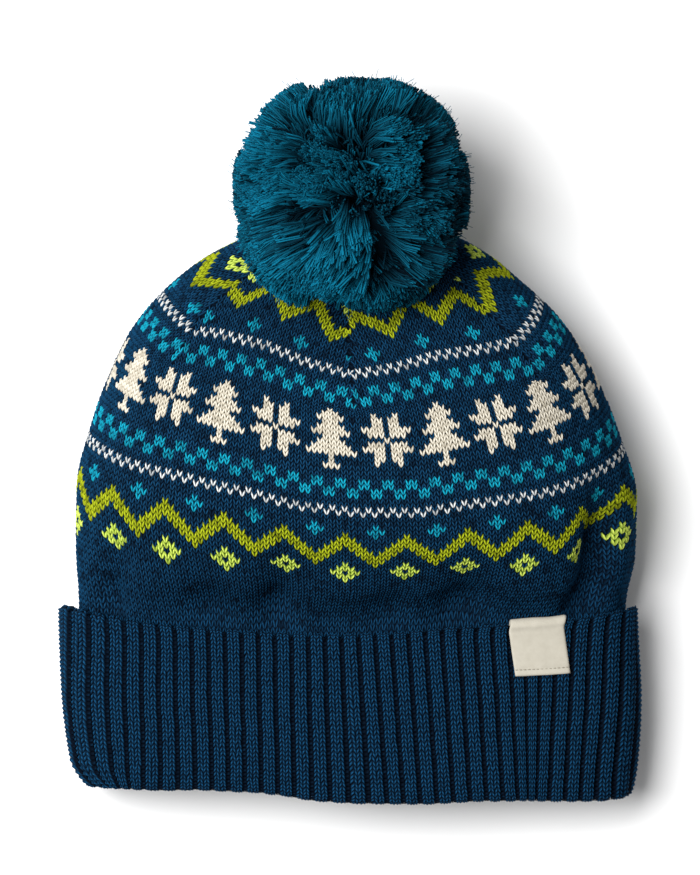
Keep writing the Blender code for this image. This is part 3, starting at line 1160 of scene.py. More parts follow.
@dataclass(frozen=True)
class ReverseKnitFinish:
    """The reverse of a knit: rows of half-round purl bumps, by column and row of stitches, with painted shade
    between the bumps. Its tone tells the inside of a wall from its outside, which lies in the dark behind the
    stitches and gets painted shade."""

    yarn: YarnFinish
    depth: float = 0.5 * MM
    inside: float = 0.6
    # Painted shade on a wall's outside, behind the stitches.
    outside: float = 0.08
    row_bend: float = 0.16
    column_share: float = 0.25
    half_swing: float = 0.4
    middle: float = 0.5

    def material(self) -> bpy.types.Material:
        """Makes the material.

        Returns:
            The material.
        """
        yarn = self.yarn
        made = MaterialBuilder(yarn.name + "_reverse", yarn.roughness, yarn.specular)
        where = made.node("ShaderNodeUVMap")
        where.uv_map = STITCH_UV
        parts = made.node("ShaderNodeSeparateXYZ")
        made.link(where.outputs["UV"], parts.inputs[0])
        across = made.math("SINE", made.math("MULTIPLY", parts.outputs["X"], 2 * math.pi).outputs[0])
        bent = made.math("MULTIPLY_ADD", across.outputs[0], self.row_bend, parts.outputs["Y"])
        up = made.math("SINE", made.math("MULTIPLY", bent.outputs[0], 2 * math.pi).outputs[0])
        joined = made.math("MULTIPLY_ADD", across.outputs[0], self.column_share, up.outputs[0])
        height = made.math("MULTIPLY_ADD", joined.outputs[0], self.half_swing, self.middle)
        tone = made.node("ShaderNodeAttribute")
        tone.attribute_name = TONE
        lit = made.math("MULTIPLY", height.outputs[0], tone.outputs["Fac"])
        made.mix_colours(lit.outputs[0], yarn.deep, yarn.bright)
        made.bump(height.outputs[0], 1.0, self.depth)
        return made.material


# How far the cuff's free edge lies above an even one, by share of the girth from the front's middle.
EDGE_SHIFTS = (
    Shift(-0.50, 0.0 * MM),
    Shift(-0.32, -1.0 * MM),
    Shift(-0.27, -1.5 * MM),
    Shift(-0.25, 0.5 * MM),
    Shift(-0.235, 2.0 * MM),
    Shift(-0.21, 3.0 * MM),
    Shift(-0.15, 3.0 * MM),
    Shift(-0.08, 2.6 * MM),
    Shift(-0.01, 1.6 * MM),
    Shift(0.04, 3.8 * MM),
    Shift(0.08, 6.6 * MM),
    Shift(0.13, 7.0 * MM),
    Shift(0.18, 6.0 * MM),
    Shift(0.225, 4.2 * MM),
    Shift(0.25, 1.6 * MM),
    Shift(0.27, -1.2 * MM),
    Shift(0.34, -0.5 * MM),
    Shift(0.50, 0.0 * MM),
)

# How far the ribs' ends at the brim have leaned to the right, by share of the girth from the front's middle.
RIB_LEANS = (
    Shift(-0.50, 0.0 * MM),
    Shift(-0.30, 0.0 * MM),
    Shift(-0.24, -3.0 * MM),
    Shift(-0.20, 0.5 * MM),
    Shift(-0.13, 1.8 * MM),
    Shift(-0.05, 1.4 * MM),
    Shift(-0.015, 2.8 * MM),
    Shift(0.01, 5.2 * MM),
    Shift(0.07, 5.4 * MM),
    Shift(0.12, 5.2 * MM),
    Shift(0.135, 3.8 * MM),
    Shift(0.15, 0.0 * MM),
    Shift(0.165, -2.6 * MM),
    Shift(0.21, -3.6 * MM),
    Shift(0.26, -1.0 * MM),
    Shift(0.30, 0.0 * MM),
    Shift(0.50, 0.0 * MM),
)


# How far the brim lies above an even one, by place to the right of its middle.
BRIM_LIFTS = (
    Shift(-118 * MM, 0.0 * MM),
    Shift(-100 * MM, 0.8 * MM),
    Shift(-76 * MM, 1.8 * MM),
    Shift(-62 * MM, 3.1 * MM),
    Shift(-38 * MM, 3.2 * MM),
    Shift(-27 * MM, 2.3 * MM),
    Shift(-16 * MM, 0.7 * MM),
    Shift(0 * MM, 0.0 * MM),
    Shift(30 * MM, 0.3 * MM),
    Shift(50 * MM, 1.6 * MM),
    Shift(70 * MM, 1.6 * MM),
    Shift(85 * MM, 0.8 * MM),
    Shift(100 * MM, 0.0 * MM),
)


@dataclass
class Cuff:
    """The turned-up rib: a folded wall and, outside it, two knit wales and a purl groove to each rib."""

    surface: BodySurface
    finishes: Finishes
    ribs: int = 72
    rib_phase: float = 0.75
    rib_depth: float = 2.1 * MM
    rib_roundness: float = 4.4
    rib_start: float = 0.5
    inner_flatter: float = 0.45
    wall: float = 3.2 * MM
    layer_gap: float = 1.4 * MM
    crown_half: float = 1.25 * MM
    row_pitch: float = 1.84 * MM
    wale_share: float = 0.380
    groove_share: float = 0.26
    cap_start: float = 0.10
    inner_rows_reach: float = 10.0 * MM
    inner_end: float = 61.0 * MM
    stitch_height: float = -0.35 * MM
    base_drop: float = 0.95 * MM
    # Painted shade on the purl bumps, which lie down in the grooves.
    purl_painted_shade: float = 0.34
    heather: float = 0.07
    columns_per_rib: int = 3
    purl_high: float = 0.5 * MM
    purl_sunk: float = 0.4 * MM
    purl_narrow: float = 0.6
    purl_half: float = 0.42
    purl_bend: float = 0.12
    purl_drop: float = 0.25
    purl_jitter: float = 0.01
    purl_heather: float = 0.08
    fold_fill: float = 0.66
    fold_flat: float = 0.5
    fold_rounder: float = 0.45
    scallop: float = 1.7 * MM
    scallop_reach: float = 5.0 * MM
    scallop_power: int = 3
    cap_end: float = 0.7
    cap_sink: float = 0.42
    groove_limit: float = 4.2 * MM
    cap_blend: float = 4.0 * MM
    cap_groove: float = 0.8 * MM
    flare: float = 4.0 * MM
    flare_around: float = -0.255
    flare_width: float = 0.045
    base_points: int = 4
    base_step: float = 4.0 * MM
    hidden_rings: int = 9
    seed: int = 31
    purl_seed: int = 36

    def __post_init__(self) -> None:
        """Works out the profile's measures."""
        self.depth = self.surface.cuff_depth
        self.inner_face = self.crown_half + self.layer_gap
        self.outer_face = self.inner_face + self.wall
        self.cap_radius = self.wall / 2
        self.fold_radius = (self.outer_face + self.wall / 2) / 2
        self.fold_middle = (self.outer_face - self.wall / 2) / 2
        self.cap_length = math.pi * self.cap_radius
        self.outer_length = self.depth - self.cap_radius - self.fold_radius
        self.fold_length = math.pi * self.fold_radius
        self.fold_end = self.cap_length + self.outer_length + self.fold_length

    def profile(self, way: np.ndarray) -> tuple[np.ndarray, np.ndarray, np.ndarray, np.ndarray]:
        """The folded wall's outer skin, which goes over its free edge, down, round the fold and up inside.

        Args:
            way: Distances along the skin.

        Returns:
            The runs and offsets of its points, and the run and offset parts of its outward direction.
        """
        cap = np.clip(way / self.cap_length, 0, 1) * math.pi - math.pi / 2
        down = np.clip(way - self.cap_length, 0, self.outer_length)
        turn = self.fold_share(way) * math.pi
        inside = np.maximum(way - self.fold_end, 0)
        on_cap = way < self.cap_length
        facing_run = np.where(on_cap, np.cos(cap), -np.sin(turn))
        facing_out = np.where(on_cap, np.sin(cap), np.cos(turn))
        cap_run = self.depth - self.cap_radius + self.cap_radius * np.cos(cap)
        cap_out = self.outer_face - self.cap_radius + self.cap_radius * np.sin(cap)
        fold_run = self.depth - self.cap_radius - down - self.fold_radius * np.sin(turn) + inside
        fold_out = self.fold_middle + self.fold_radius * np.cos(turn)
        run = np.where(on_cap, cap_run, fold_run)
        offset = np.where(on_cap, cap_out, fold_out)
        return run, offset, facing_run, facing_out

    def fold_share(self, way: np.ndarray) -> np.ndarray:
        """How far round the fold at the brim ways are, from 0 to 1."""
        return np.clip((way - self.cap_length - self.outer_length) / self.fold_length, 0, 1)

    def folded(self, way: np.ndarray) -> np.ndarray:
        """How near the middle of the fold at the brim ways are, from 0 to 1."""
        return np.sin(math.pi * self.fold_share(way))

    def across_rib(self, around: np.ndarray) -> np.ndarray:
        """How near the grooves places across a rib are, from 0 in its middle to 1."""
        return np.abs(2 * (np.mod(around * self.ribs - self.rib_phase + 0.5, 1.0) - 0.5))

    def rib_rise(self, around: np.ndarray, way: np.ndarray) -> np.ndarray:
        """How high the ribs stand above the grooves.

        Args:
            around: Shares of the girth.
            way: Distances along the skin.

        Returns:
            The heights.
        """
        rounder = self.rib_roundness * (1 - self.fold_rounder * self.folded(way))
        arch = 1 - self.across_rib(around) ** rounder
        start = smoothstep(way / (self.rib_start * self.cap_length))
        inner = 1 - self.inner_flatter * smoothstep((way - self.fold_end) / self.fold_length)
        return self.rib_depth * arch * start * inner

    def place(self, around: np.ndarray, way: np.ndarray, height: np.ndarray | float) -> np.ndarray:
        """Points over the ribbed skin.

        Args:
            around: Shares of the girth.
            way: Distances along the skin.
            height: Heights above the ribs' tops.

        Returns:
            The points.
        """
        run, offset, facing_run, facing_out = self.profile(way)
        past_cap = smoothstep((way - self.cap_end * self.cap_length) / self.cap_blend)
        limit = self.cap_sink * self.cap_radius + self.groove_limit * past_cap
        folded = self.folded(way)
        shallow = 1 - self.fold_fill * folded
        rise = np.maximum((self.rib_rise(around, way) - self.rib_depth) * shallow, -limit)
        rise = rise + height * (1 - self.fold_flat * folded)
        scalloped = self.scallop * self.across_rib(around) ** self.scallop_power
        run = run - scalloped * smoothstep((run - self.depth) / self.scallop_reach + 1)
        edge = self.edge_run(around, run + facing_run * rise)
        out = offset + facing_out * rise + self.flared(around, way, run)
        shares = self.surface.straight(self.leaned(around, run), run)
        return self.lifted(self.surface.place(shares, edge, out), run)

    def flared(self, around: np.ndarray, way: np.ndarray, run: np.ndarray) -> np.ndarray:
        """How far the outer layer stands off near its free edge, at the left end of the cuff.

        Args:
            around: Shares of the girth.
            way: Distances along the skin.
            run: Their runs from the brim.

        Returns:
            The distances.
        """
        aside = (from_front(around) - self.flare_around) / self.flare_width
        outer = smoothstep(way / self.cap_length) * (way < self.fold_end)
        return self.flare * bell(aside) * outer * smoothstep(run / self.depth) ** 2

    def lifted(self, points: np.ndarray, run: np.ndarray) -> np.ndarray:
        """Points, at runs, moved up the hat where the brim lies further up, least near the free edge."""
        points[..., 1] += shift_at(BRIM_LIFTS, points[..., 0]) * self.near_brim(run)
        return points

    def leaned(self, around: np.ndarray, run: np.ndarray) -> np.ndarray:
        """Shares of the girth, at runs, after the ribs have leaned sideways, most at the brim."""
        leans = shift_at(RIB_LEANS, from_front(around)) * self.near_brim(run)
        return around + leans / self.surface.girths[0]

    def near_brim(self, run: np.ndarray) -> np.ndarray:
        """How near the brim runs are, from 0 at the free edge to 1."""
        return 1 - np.clip(run / self.depth, 0.0, 1.0)

    def edge_run(self, around: np.ndarray, run: np.ndarray) -> np.ndarray:
        """Runs after the free edge has been turned up a little further in some places than in others."""
        return run + shift_at(EDGE_SHIFTS, from_front(around)) * np.maximum(run, 0.0) / self.depth

    def build_wall(self) -> None:
        """The folded wall behind the stitches, which shows inside the hat."""
        columns = self.ribs * self.base_points
        around = np.arange(columns) / columns
        visible = self.fold_end + self.inner_end - self.fold_radius
        steps = int(visible / self.base_step)
        ways = np.linspace(0.0, visible, steps + 1)
        drop = np.where(ways < self.fold_end + self.inner_rows_reach, self.base_drop, 0.0)
        rings = [self.place(around, np.full(columns, way), -sunk) for way, sunk in zip(ways, drop)]
        down = np.linspace(self.inner_end, self.fold_radius, self.hidden_rings)
        up = np.linspace(self.fold_radius, self.depth - self.cap_radius, self.hidden_rings, endpoint=False)
        hidden = [(run, self.wall / 2) for run in down] + [(run, self.inner_face) for run in up]
        for run, offset in hidden:
            runs = self.edge_run(around, np.full(columns, run))
            shares = self.surface.straight(self.leaned(around, runs), runs)
            rings.append(self.lifted(self.surface.place(shares, runs, offset), runs))
        points = np.concatenate(rings)
        quads = grid_faces(len(rings), columns, True, wrap_rows=True)
        rows = np.repeat(np.arange(len(rings)) * self.base_step / self.row_pitch, columns)
        uv = np.stack([np.tile(around * self.ribs * self.columns_per_rib, len(rings)), rows], axis=-1)
        finish = ReverseKnitFinish(self.finishes.rib)
        # The rings under the stitches get painted shade; the inside rings stay lighter.
        covered = len(ways[ways < self.fold_end])
        tone = np.repeat([finish.outside] * covered + [finish.inside] * (len(rings) - covered), columns)
        piece = add_piece("cuff_wall", points, [quads[:, ::-1]], finish.material(), Slot.CUFF, tone, uv)
        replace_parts(piece, "cuff")

    def build_stitches(self) -> None:
        """Knits the ribs and purls the grooves between them."""
        first = self.cap_start * self.cap_length
        count = int((self.fold_end + self.inner_rows_reach - first) / self.row_pitch)
        rib, row = (grid.ravel() for grid in np.meshgrid(np.arange(self.ribs), np.arange(count)))
        parts = MeshParts()
        for turn, side in enumerate((-0.5, 0.5)):
            centre = rib + self.rib_phase + side * self.wale_share

            def where(u: np.ndarray, v: np.ndarray, height: np.ndarray) -> np.ndarray:
                """Maps places within the stitches to points.

                Args:
                    u: Places across each stitch, from its middle.
                    v: Places up each stitch, in rows.
                    height: Heights above the stitches' base.

                Returns:
                    The points.
                """
                around = (centre[:, None] + u * self.wale_share) / self.ribs
                way = first + (row[:, None] + v) * self.row_pitch
                return self.place(around, way, self.stitch_height + height)

            wales = StitchField(len(rib), self.seed + turn, heather=self.heather, leg=PLAIN_LEG)
            parts.add(*wales.build(where, turned=True))
        parts.add(*self.purl_bumps(rib, row, first))
        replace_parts(parts.piece("cuff_stitches", self.finishes.rib.material(), Slot.CUFF), "cuff")

    def purl_bumps(
        self, rib: np.ndarray, row: np.ndarray, first: float
    ) -> tuple[np.ndarray, np.ndarray, np.ndarray]:
        """The small cross bars of yarn in the grooves.

        Args:
            rib: The rib that each belongs to.
            row: The row of each.
            first: The way to the first row.

        Returns:
            Their points, quads and tones.
        """
        chance = np.random.default_rng(self.purl_seed)
        grid = np.meshgrid((-1.0, 0.0, 1.0), (-1.0, 0.0, 1.0))
        across, up = (places.ravel() for places in grid)
        arch = (1 - self.purl_narrow * np.abs(across)) * (1 - np.abs(up)) * self.purl_high - self.purl_sunk
        u = across * self.groove_share / 2
        v = up * self.purl_half - self.purl_bend * np.abs(across)
        centre = (rib + self.rib_phase + 0.5)[:, None] + chance.normal(0, self.purl_jitter, (len(rib), 1))
        way = first + (row[:, None] + 0.5 + v) * self.row_pitch
        sunk = self.cap_groove * smoothstep((self.cap_length + self.cap_blend - way) / self.cap_blend)
        height = self.base_drop * self.purl_drop + arch[None, :] - sunk
        points = self.place((centre + u) / self.ribs, way, height)
        faces = repeated(grid_faces(*grid[0].shape, False)[:, ::-1], len(rib), len(u))
        lit = (1 - np.abs(across)) * (1 - np.abs(up))
        # The purl bumps get painted shade.
        tone = chance.normal(self.purl_painted_shade, self.purl_heather, (len(rib), 1)) * lit
        return points.reshape(-1, 3), faces, np.clip(tone, 0, 1).ravel()

    def build(self) -> None:
        """Builds the cuff."""
        self.build_wall()
        self.build_stitches()


@dataclass
class Label:
    """The blank woven label folded over the cuff's free edge, with a stitched hem."""

    surface: BodySurface
    cuff: Cuff
    finishes: Finishes
    width: float = 22.0 * MM
    height: float = 21.6 * MM
    back: float = 8.0 * MM
    thick: float = 0.55 * MM
    gap: float = 0.45 * MM
    centre: float = 72.3 * MM
    slant: float = 0.16
    hem: float = 2.4 * MM
    wave: float = 0.12 * MM
    wave_across: float = 9.0
    wave_along: float = 0.35 / MM
    groove: float = 0.22 * MM
    groove_half: float = 0.45 * MM
    edge_round: float = 0.18 * MM
    edge_from: float = 0.46
    edge_fade: float = 0.04
    columns: int = 30
    step: float = 0.7 * MM
    stitch_count: int = 13
    stitch_share: float = 0.36
    stitch_taper: float = 0.97
    stitch_rings: int = 5
    stitch_sides: int = 6
    thread_radius: float = 0.20 * MM
    thread_sunk: float = 0.10 * MM

    def place(self, u: np.ndarray, way: np.ndarray, height: np.ndarray | float) -> np.ndarray:
        """Points over the label's place.

        Args:
            u: Places across it, from -0.5 to 0.5.
            way: Distances from its lower edge, up its front, over the free edge and down behind it.
            height: Heights above the cloth's underside.

        Returns:
            The points.
        """
        radius = self.cuff.cap_radius + self.gap
        turn = np.clip((way - self.height) / (math.pi * radius), 0, 1) * math.pi
        down = np.maximum(way - self.height - math.pi * radius, 0)
        edge = self.cuff.depth - self.cuff.cap_radius
        front = np.minimum(way, self.height) - self.height
        reach = radius + height
        run = edge + front - down + reach * np.sin(turn)
        offset = self.cuff.outer_face - self.cuff.cap_radius + reach * np.cos(turn)
        across = self.centre + self.slant * (self.cuff.depth - run) + u * self.width
        rows = zip(run, across, offset)
        around = np.stack([self.surface.around_at(float(r[0]), a, float(o.mean())) for r, a, o in rows])
        return self.surface.place(around, self.cuff.edge_run(around, run), offset)

    def build(self) -> None:
        """Builds the cloth and its hem stitching."""
        total = self.height + math.pi * (self.cuff.cap_radius + self.gap) + self.back
        ways = np.linspace(0, total, int(total / self.step))
        u, way = np.meshgrid(np.linspace(-0.5, 0.5, self.columns), ways)
        wave = self.wave * np.sin(u * self.wave_across + way * self.wave_along)
        groove = self.groove * bell((way - self.hem) / self.groove_half)
        edge = self.edge_round * smoothstep((np.abs(u) - self.edge_from) / self.edge_fade)
        top = self.place(u, way, self.thick + wave - groove - edge)
        bottom = self.place(u, way, wave)
        rows, columns = u.shape
        quads = grid_faces(rows, columns, False)
        count = rows * columns
        rim = np.concatenate(
            [
                np.arange(columns),
                np.arange(1, rows) * columns + columns - 1,
                (rows - 1) * columns + np.arange(columns - 2, -1, -1),
                np.arange(rows - 2, 0, -1) * columns,
            ]
        )
        after = np.roll(rim, -1)
        sides = np.stack([rim + count, after + count, after, rim], axis=-1)
        points = np.concatenate([top.reshape(-1, 3), bottom.reshape(-1, 3)])
        faces = np.concatenate([quads, quads[:, ::-1] + count, sides])
        material = self.finishes.label_cloth.material()
        piece = add_piece("label_cloth", points, [faces], material, Slot.LABEL)
        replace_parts(piece, "label")
        self.build_hem_stitches()

    def build_hem_stitches(self) -> None:
        """The row of small stitches along the hem."""
        pitch = 1 / self.stitch_count
        centres = (np.arange(self.stitch_count) + 0.5) * pitch - 0.5
        along = np.linspace(-1, 1, self.stitch_rings)
        ring = np.linspace(0, 2 * math.pi, self.stitch_sides, endpoint=False)
        u = centres[:, None, None] + self.stitch_share * pitch * along[None, :, None] + 0 * ring
        half = self.thread_radius * np.sqrt(1 - (self.stitch_taper * along) ** 2)[None, :, None]
        way = self.hem + half * np.cos(ring) + 0 * u
        height = self.thick - self.thread_sunk + half * np.sin(ring) + 0 * u
        flat = (self.stitch_count * len(along), len(ring))
        points = self.place(u.reshape(flat), way.reshape(flat), height.reshape(flat)).reshape(-1, 3)
        size = len(along) * len(ring)
        faces = repeated(grid_faces(len(along), len(ring), True), self.stitch_count, size)
        ends = np.array([np.arange(len(ring)), size - 1 - np.arange(len(ring))])
        caps = repeated(ends, self.stitch_count, size)
        material = self.finishes.label_thread.material()
        piece = add_piece("label_hem_stitches", points, [faces, caps], material, Slot.LABEL)
        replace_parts(piece, "label")


@dataclass(frozen=True)
class Parting:
    """A place where the pompom's yarn parts: its direction from the middle, how far the ends are pushed away
    at it and over what angle the push fades, in radians."""

    direction: Triple
    push: float
    fade: float


@dataclass(frozen=True)
class Lean:
    """A side of the pompom that the yarn leans to: the direction from the middle where it leans most, which
    way and how far it leans, in radii, and over what angle that fades, in radians."""

    direction: Triple
    way: Triple
    fade: float


@dataclass(frozen=True)
class Tuft:
    """One size of the clumps that yarn gathers into: their number, the jitter of their places, how much they
    pull together, how far they lean apart, in radii, and how unequal their lengths and their tones are."""

    count: int
    jitter: float
    pull: float
    lean: float
    unevenness: float
    tone: float


TUFTS = (
    Tuft(64, 0.16, 0.19, 0.11, 0.034, 0.12),
    Tuft(300, 0.09, 0.20, 0.05, 0.018, 0.07),
)

PARTINGS = (
    Parting((0.05, -0.14, 1.0), 0.13, 0.13),
    Parting((0.04, 0.55, 0.84), 0.19, 0.15),
    Parting((0.02, 0.16, 0.98), 0.08, 0.10),
    Parting((-0.45, 0.50, 0.74), 0.08, 0.16),
    Parting((0.62, -0.10, 0.78), 0.08, 0.16),
    Parting((0.40, 0.10, 0.90), 0.06, 0.12),
)

LEANS = (
    Lean((-0.40, -0.28, 0.87), (-0.60, -0.14, -0.10), 0.34),
    Lean((-0.08, -0.60, 0.80), (-0.05, -0.55, -0.10), 0.32),
    Lean((0.36, -0.66, 0.66), (0.16, -0.30, 0.0), 0.26),
    Lean((0.28, 0.40, 0.87), (0.42, 0.12, -0.05), 0.20),
)


@dataclass(frozen=True)
class StrandRing:
    """A ring round a strand of yarn: its share of the strand's length, its radius beside the strand's and how
    bright its fibres are, which paints shade towards the root."""

    share: float
    width: float
    tone: float


# Painted shade: the strands darken from tip to root, where the inside of the ball lies in shade.
STRAND_RINGS = (
    StrandRing(0.08, 0.85, 0.0),
    StrandRing(0.60, 1.05, 0.64),
    StrandRing(1.0, 0.92, 1.0),
)


@dataclass
class Pompom:
    """A ball of cut yarn ends tied at its middle, painted dark inside as shade, with partings, leaning sides
    and clumps.
    """

    finishes: Finishes
    yarn_count: int = 13300
    yarn_jitter: float = 0.02
    fibre_count: int = 4000
    ply_radius: float = 0.43 * MM
    ply_offset: float = 0.42 * MM
    ply_root: float = 0.6
    ply_spread: tuple[float, float] = (0.8, 1.8)
    ply_heather: float = 0.06
    strand_sides: int = 3
    thickness_spread: float = 0.1
    thickness_limits: tuple[float, float] = (0.7, 1.3)
    fibre_radius: float = 0.14 * MM
    fibre_spread: float = 1.2 * MM
    # Painted highlight: the loose fibres are lighter than the strands they come from.
    fibre_painted_highlight: float = 0.25
    pull_spread: tuple[float, float] = (0.4, 1.4)
    root_reach: float = 0.64
    root_share: float = 0.75
    bend_share: float = 0.86
    shortest: float = 0.5
    squareness: float = 2.5
    radius: float = 45.6 * MM
    sag: float = 5.6 * MM
    waviness: float = 1.3 * MM
    strays: int = 10
    stray_length: tuple[float, float] = (1.03, 1.09)
    core_share: float = 0.68
    core_rings: int = 28
    core_columns: int = 40
    core_hole: float = 0.04
    core_parting: float = 0.35
    core_parting_width: float = 0.8
    core_least: float = 0.5
    under_share: float = 0.19
    under_jitter: float = 0.05
    length: float = 0.985
    length_spread: float = 0.014
    longest: float = 1.03
    cut_unevenness: float = 0.8 * MM
    under_length: float = 0.87
    # Painted shade on the shorter strands of the under layer, which sit deeper in the ball.
    under_painted_shade: float = 0.62
    clearance: float = 0.8 * MM
    tone: float = 0.72
    heather: float = 0.18
    least_tone: float = 0.1
    # Painted shade on the strands that the crown cuts short, where the ball meets it.
    blocked_painted_shade: float = 0.45
    # Painted shade on the cut ends, darker than the strands' sides.
    cut_tone: float = 0.62
    # Painted light: the yarn is painted lighter to the left, where the light falls, and darker to the right.
    painted_left_light: float = 0.42
    fray: float = 0.035
    seed: int = 5

    def __post_init__(self) -> None:
        """Reads the ball's place from the frame."""
        low, high = (np.array(corner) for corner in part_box("pompom"))
        built = float(high[0] - low[0]) / 2
        self.centre = np.array([(low[0] + high[0]) / 2, high[1] - built - self.sag, high[2] - built])
        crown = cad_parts["crown"].data
        corners = [list(face.vertices) for face in crown.polygons]
        self.crown = BVHTree.FromPolygons([vertex.co for vertex in crown.vertices], corners)

    def directions(self, count: int, chance: np.random.Generator, jitter: float) -> np.ndarray:
        """Directions spread evenly over the ball.

        Args:
            count: How many.
            chance: The source of their unevenness.
            jitter: How uneven they are.

        Returns:
            Unit directions, one row each.
        """
        index = np.arange(count) + 0.5
        height = 1 - 2 * index / count
        turn = index * math.pi * (3 - math.sqrt(5))
        flat = np.sqrt(1 - height**2)
        even = np.stack([flat * np.cos(turn), flat * np.sin(turn), height], axis=-1)
        return self.unit(even + chance.normal(0, jitter, even.shape))

    @staticmethod
    def unit(vectors: np.ndarray) -> np.ndarray:
        """Vectors scaled to length 1."""
        return vectors / np.maximum(np.linalg.norm(vectors, axis=-1, keepdims=True), TINY)

    @staticmethod
    def angle_to(directions: np.ndarray, pole: np.ndarray) -> np.ndarray:
        """Angles between unit directions and a pole."""
        return np.arccos(np.clip(directions @ pole, -1, 1))

    def comb(self, roots: np.ndarray) -> np.ndarray:
        """Directions leaning to their sides and pushed away from the partings.

        Args:
            roots: Unit directions.

        Returns:
            The pushed unit directions.
        """
        combed = roots
        for lean in LEANS:
            near = bell(self.angle_to(roots, self.unit(np.array(lean.direction))) / lean.fade)
            combed = combed + near[:, None] * np.array(lean.way)
        combed = self.unit(combed)
        for parting in PARTINGS:
            pole = self.unit(np.array(parting.direction))
            angle = self.angle_to(combed, pole)
            away = self.unit(combed - (combed @ pole)[:, None] * pole)
            pushed = angle + parting.push * bell(angle / parting.fade)
            combed = np.cos(pushed)[:, None] * pole + np.sin(pushed)[:, None] * away
        return combed

    def clump(
        self, ends: np.ndarray, chance: np.random.Generator
    ) -> tuple[np.ndarray, np.ndarray, np.ndarray, np.ndarray]:
        """Gathers ends into tufts that lean apart, and the yarn of the tufts into clumps.

        Args:
            ends: Unit directions of the ends.
            chance: The source of the clumps' unevenness.

        Returns:
            The gathered unit directions, how long each strand is beside the others, its tone beside the
            others' and its clump's number.
        """
        length = np.ones(len(ends))
        tone = np.zeros(len(ends))
        for tuft in TUFTS:
            middles = self.directions(tuft.count, chance, tuft.jitter)
            nearest = np.argmax(ends @ middles.T, axis=1)
            pull = tuft.pull * chance.uniform(*self.pull_spread, tuft.count)[nearest][:, None]
            lean = chance.normal(0, tuft.lean, (tuft.count, 3))[nearest]
            ends = self.unit(ends * (1 - pull) + middles[nearest] * pull + lean)
            length = length * chance.normal(1.0, tuft.unevenness, tuft.count)[nearest]
            tone = tone + chance.normal(0, tuft.tone, tuft.count)[nearest]
        return ends, length, tone, nearest

    def squared(self, directions: np.ndarray) -> np.ndarray:
        """How far the slightly square ball reaches in directions, in radii."""
        return np.sum(np.abs(directions) ** self.squareness, axis=-1) ** (-1 / self.squareness)

    def kept_clear(self, points: np.ndarray) -> tuple[np.ndarray, np.ndarray]:
        """Finds how much of each way from the ball's middle is clear of the crown.

        Args:
            points: Where each way ends, one row each.

        Returns:
            The clear share of each way and whether the crown cuts it short.
        """
        share = np.ones(len(points))
        start = Vector(self.centre)
        for i, point in enumerate(points):
            way = Vector(point) - start
            reach = way.length + self.clearance
            place, _, _, distance = self.crown.ray_cast(start, way.normalized(), reach)
            if place is not None:
                share[i] = max(distance - self.clearance, 0.0) / way.length
        return share, share < 1

    def build_strands(self) -> None:
        """Cuts and combs the yarn, in a few pieces."""
        chance = np.random.default_rng(self.seed)
        roots = self.directions(self.yarn_count, chance, self.yarn_jitter)
        ends, even, uneven_tone, nearest = self.clump(self.comb(roots), chance)
        under = chance.random(len(roots)) < self.under_share
        ends[under] = self.unit(roots[under] + chance.normal(0, self.under_jitter, roots[under].shape))
        even = np.minimum(even * chance.normal(self.length, self.length_spread, len(ends)), self.longest)
        length = self.radius * self.squared(ends) * even
        length[under] *= self.under_length
        stray = chance.choice(len(ends), self.strays, replace=False)
        length[stray] *= chance.uniform(*self.stray_length, self.strays)
        clear, blocked = self.kept_clear(self.centre + ends * length[:, None])
        length *= clear
        kept = length > self.shortest * self.radius
        roots, ends, length, blocked = roots[kept], ends[kept], length[kept], blocked[kept]
        nearest, uneven_tone, under = nearest[kept], uneven_tone[kept], under[kept]
        rooted = np.minimum(self.root_reach * self.radius, self.root_share * length)
        start = self.centre + roots * rooted[:, None]
        bend = self.centre + self.unit(roots + ends) * (self.bend_share * length[:, None])
        bend += chance.normal(0, self.waviness, (TUFTS[-1].count, 3))[nearest]
        bend += chance.normal(0, self.waviness, bend.shape)
        frayed_ends = self.unit(ends + chance.normal(0, self.fray, ends.shape))
        tip = self.centre + frayed_ends * length[:, None]
        shade = self.tone + uneven_tone + chance.normal(0, self.heather, len(ends))
        # Painted shade: strands cut short by the crown, and the under layer's strands, are darker.
        shade = np.where(blocked, self.blocked_painted_shade, shade * np.where(under, self.under_painted_shade, 1.0))
        # Painted light: lighter towards the left, darker towards the right.
        shade = np.clip(shade * (1 - self.painted_left_light * ends[:, 0]), self.least_tone, 1)
        material = self.finishes.pompom.material()
        apart = self.unit(np.cross(ends, self.unit(chance.normal(0, 1, ends.shape)))) * self.ply_offset
        for part, side in enumerate((-1, 1)):
            off = side * apart
            spread = off * chance.uniform(*self.ply_spread, (len(ends), 1))
            cut = ends * chance.uniform(0, self.cut_unevenness, (len(ends), 1))
            strands = (start + self.ply_root * off, bend + off, tip + spread - cut)
            lit = np.clip(shade + chance.normal(0, self.ply_heather, len(shade)), 0, 1)
            self.add_strands(f"pompom_yarn_{part + 1}", strands, lit, self.ply_radius, material, chance)
        picked = chance.choice(len(ends), self.fibre_count)
        loose = chance.normal(0, self.fibre_spread, (self.fibre_count, 3))
        strands = (start[picked], bend[picked] + loose, tip[picked] + loose)
        # The loose fibres get a painted highlight.
        lit = np.clip(shade[picked] + self.fibre_painted_highlight, 0, 1)
        self.add_strands("pompom_fibres", strands, lit, self.fibre_radius, material, chance)

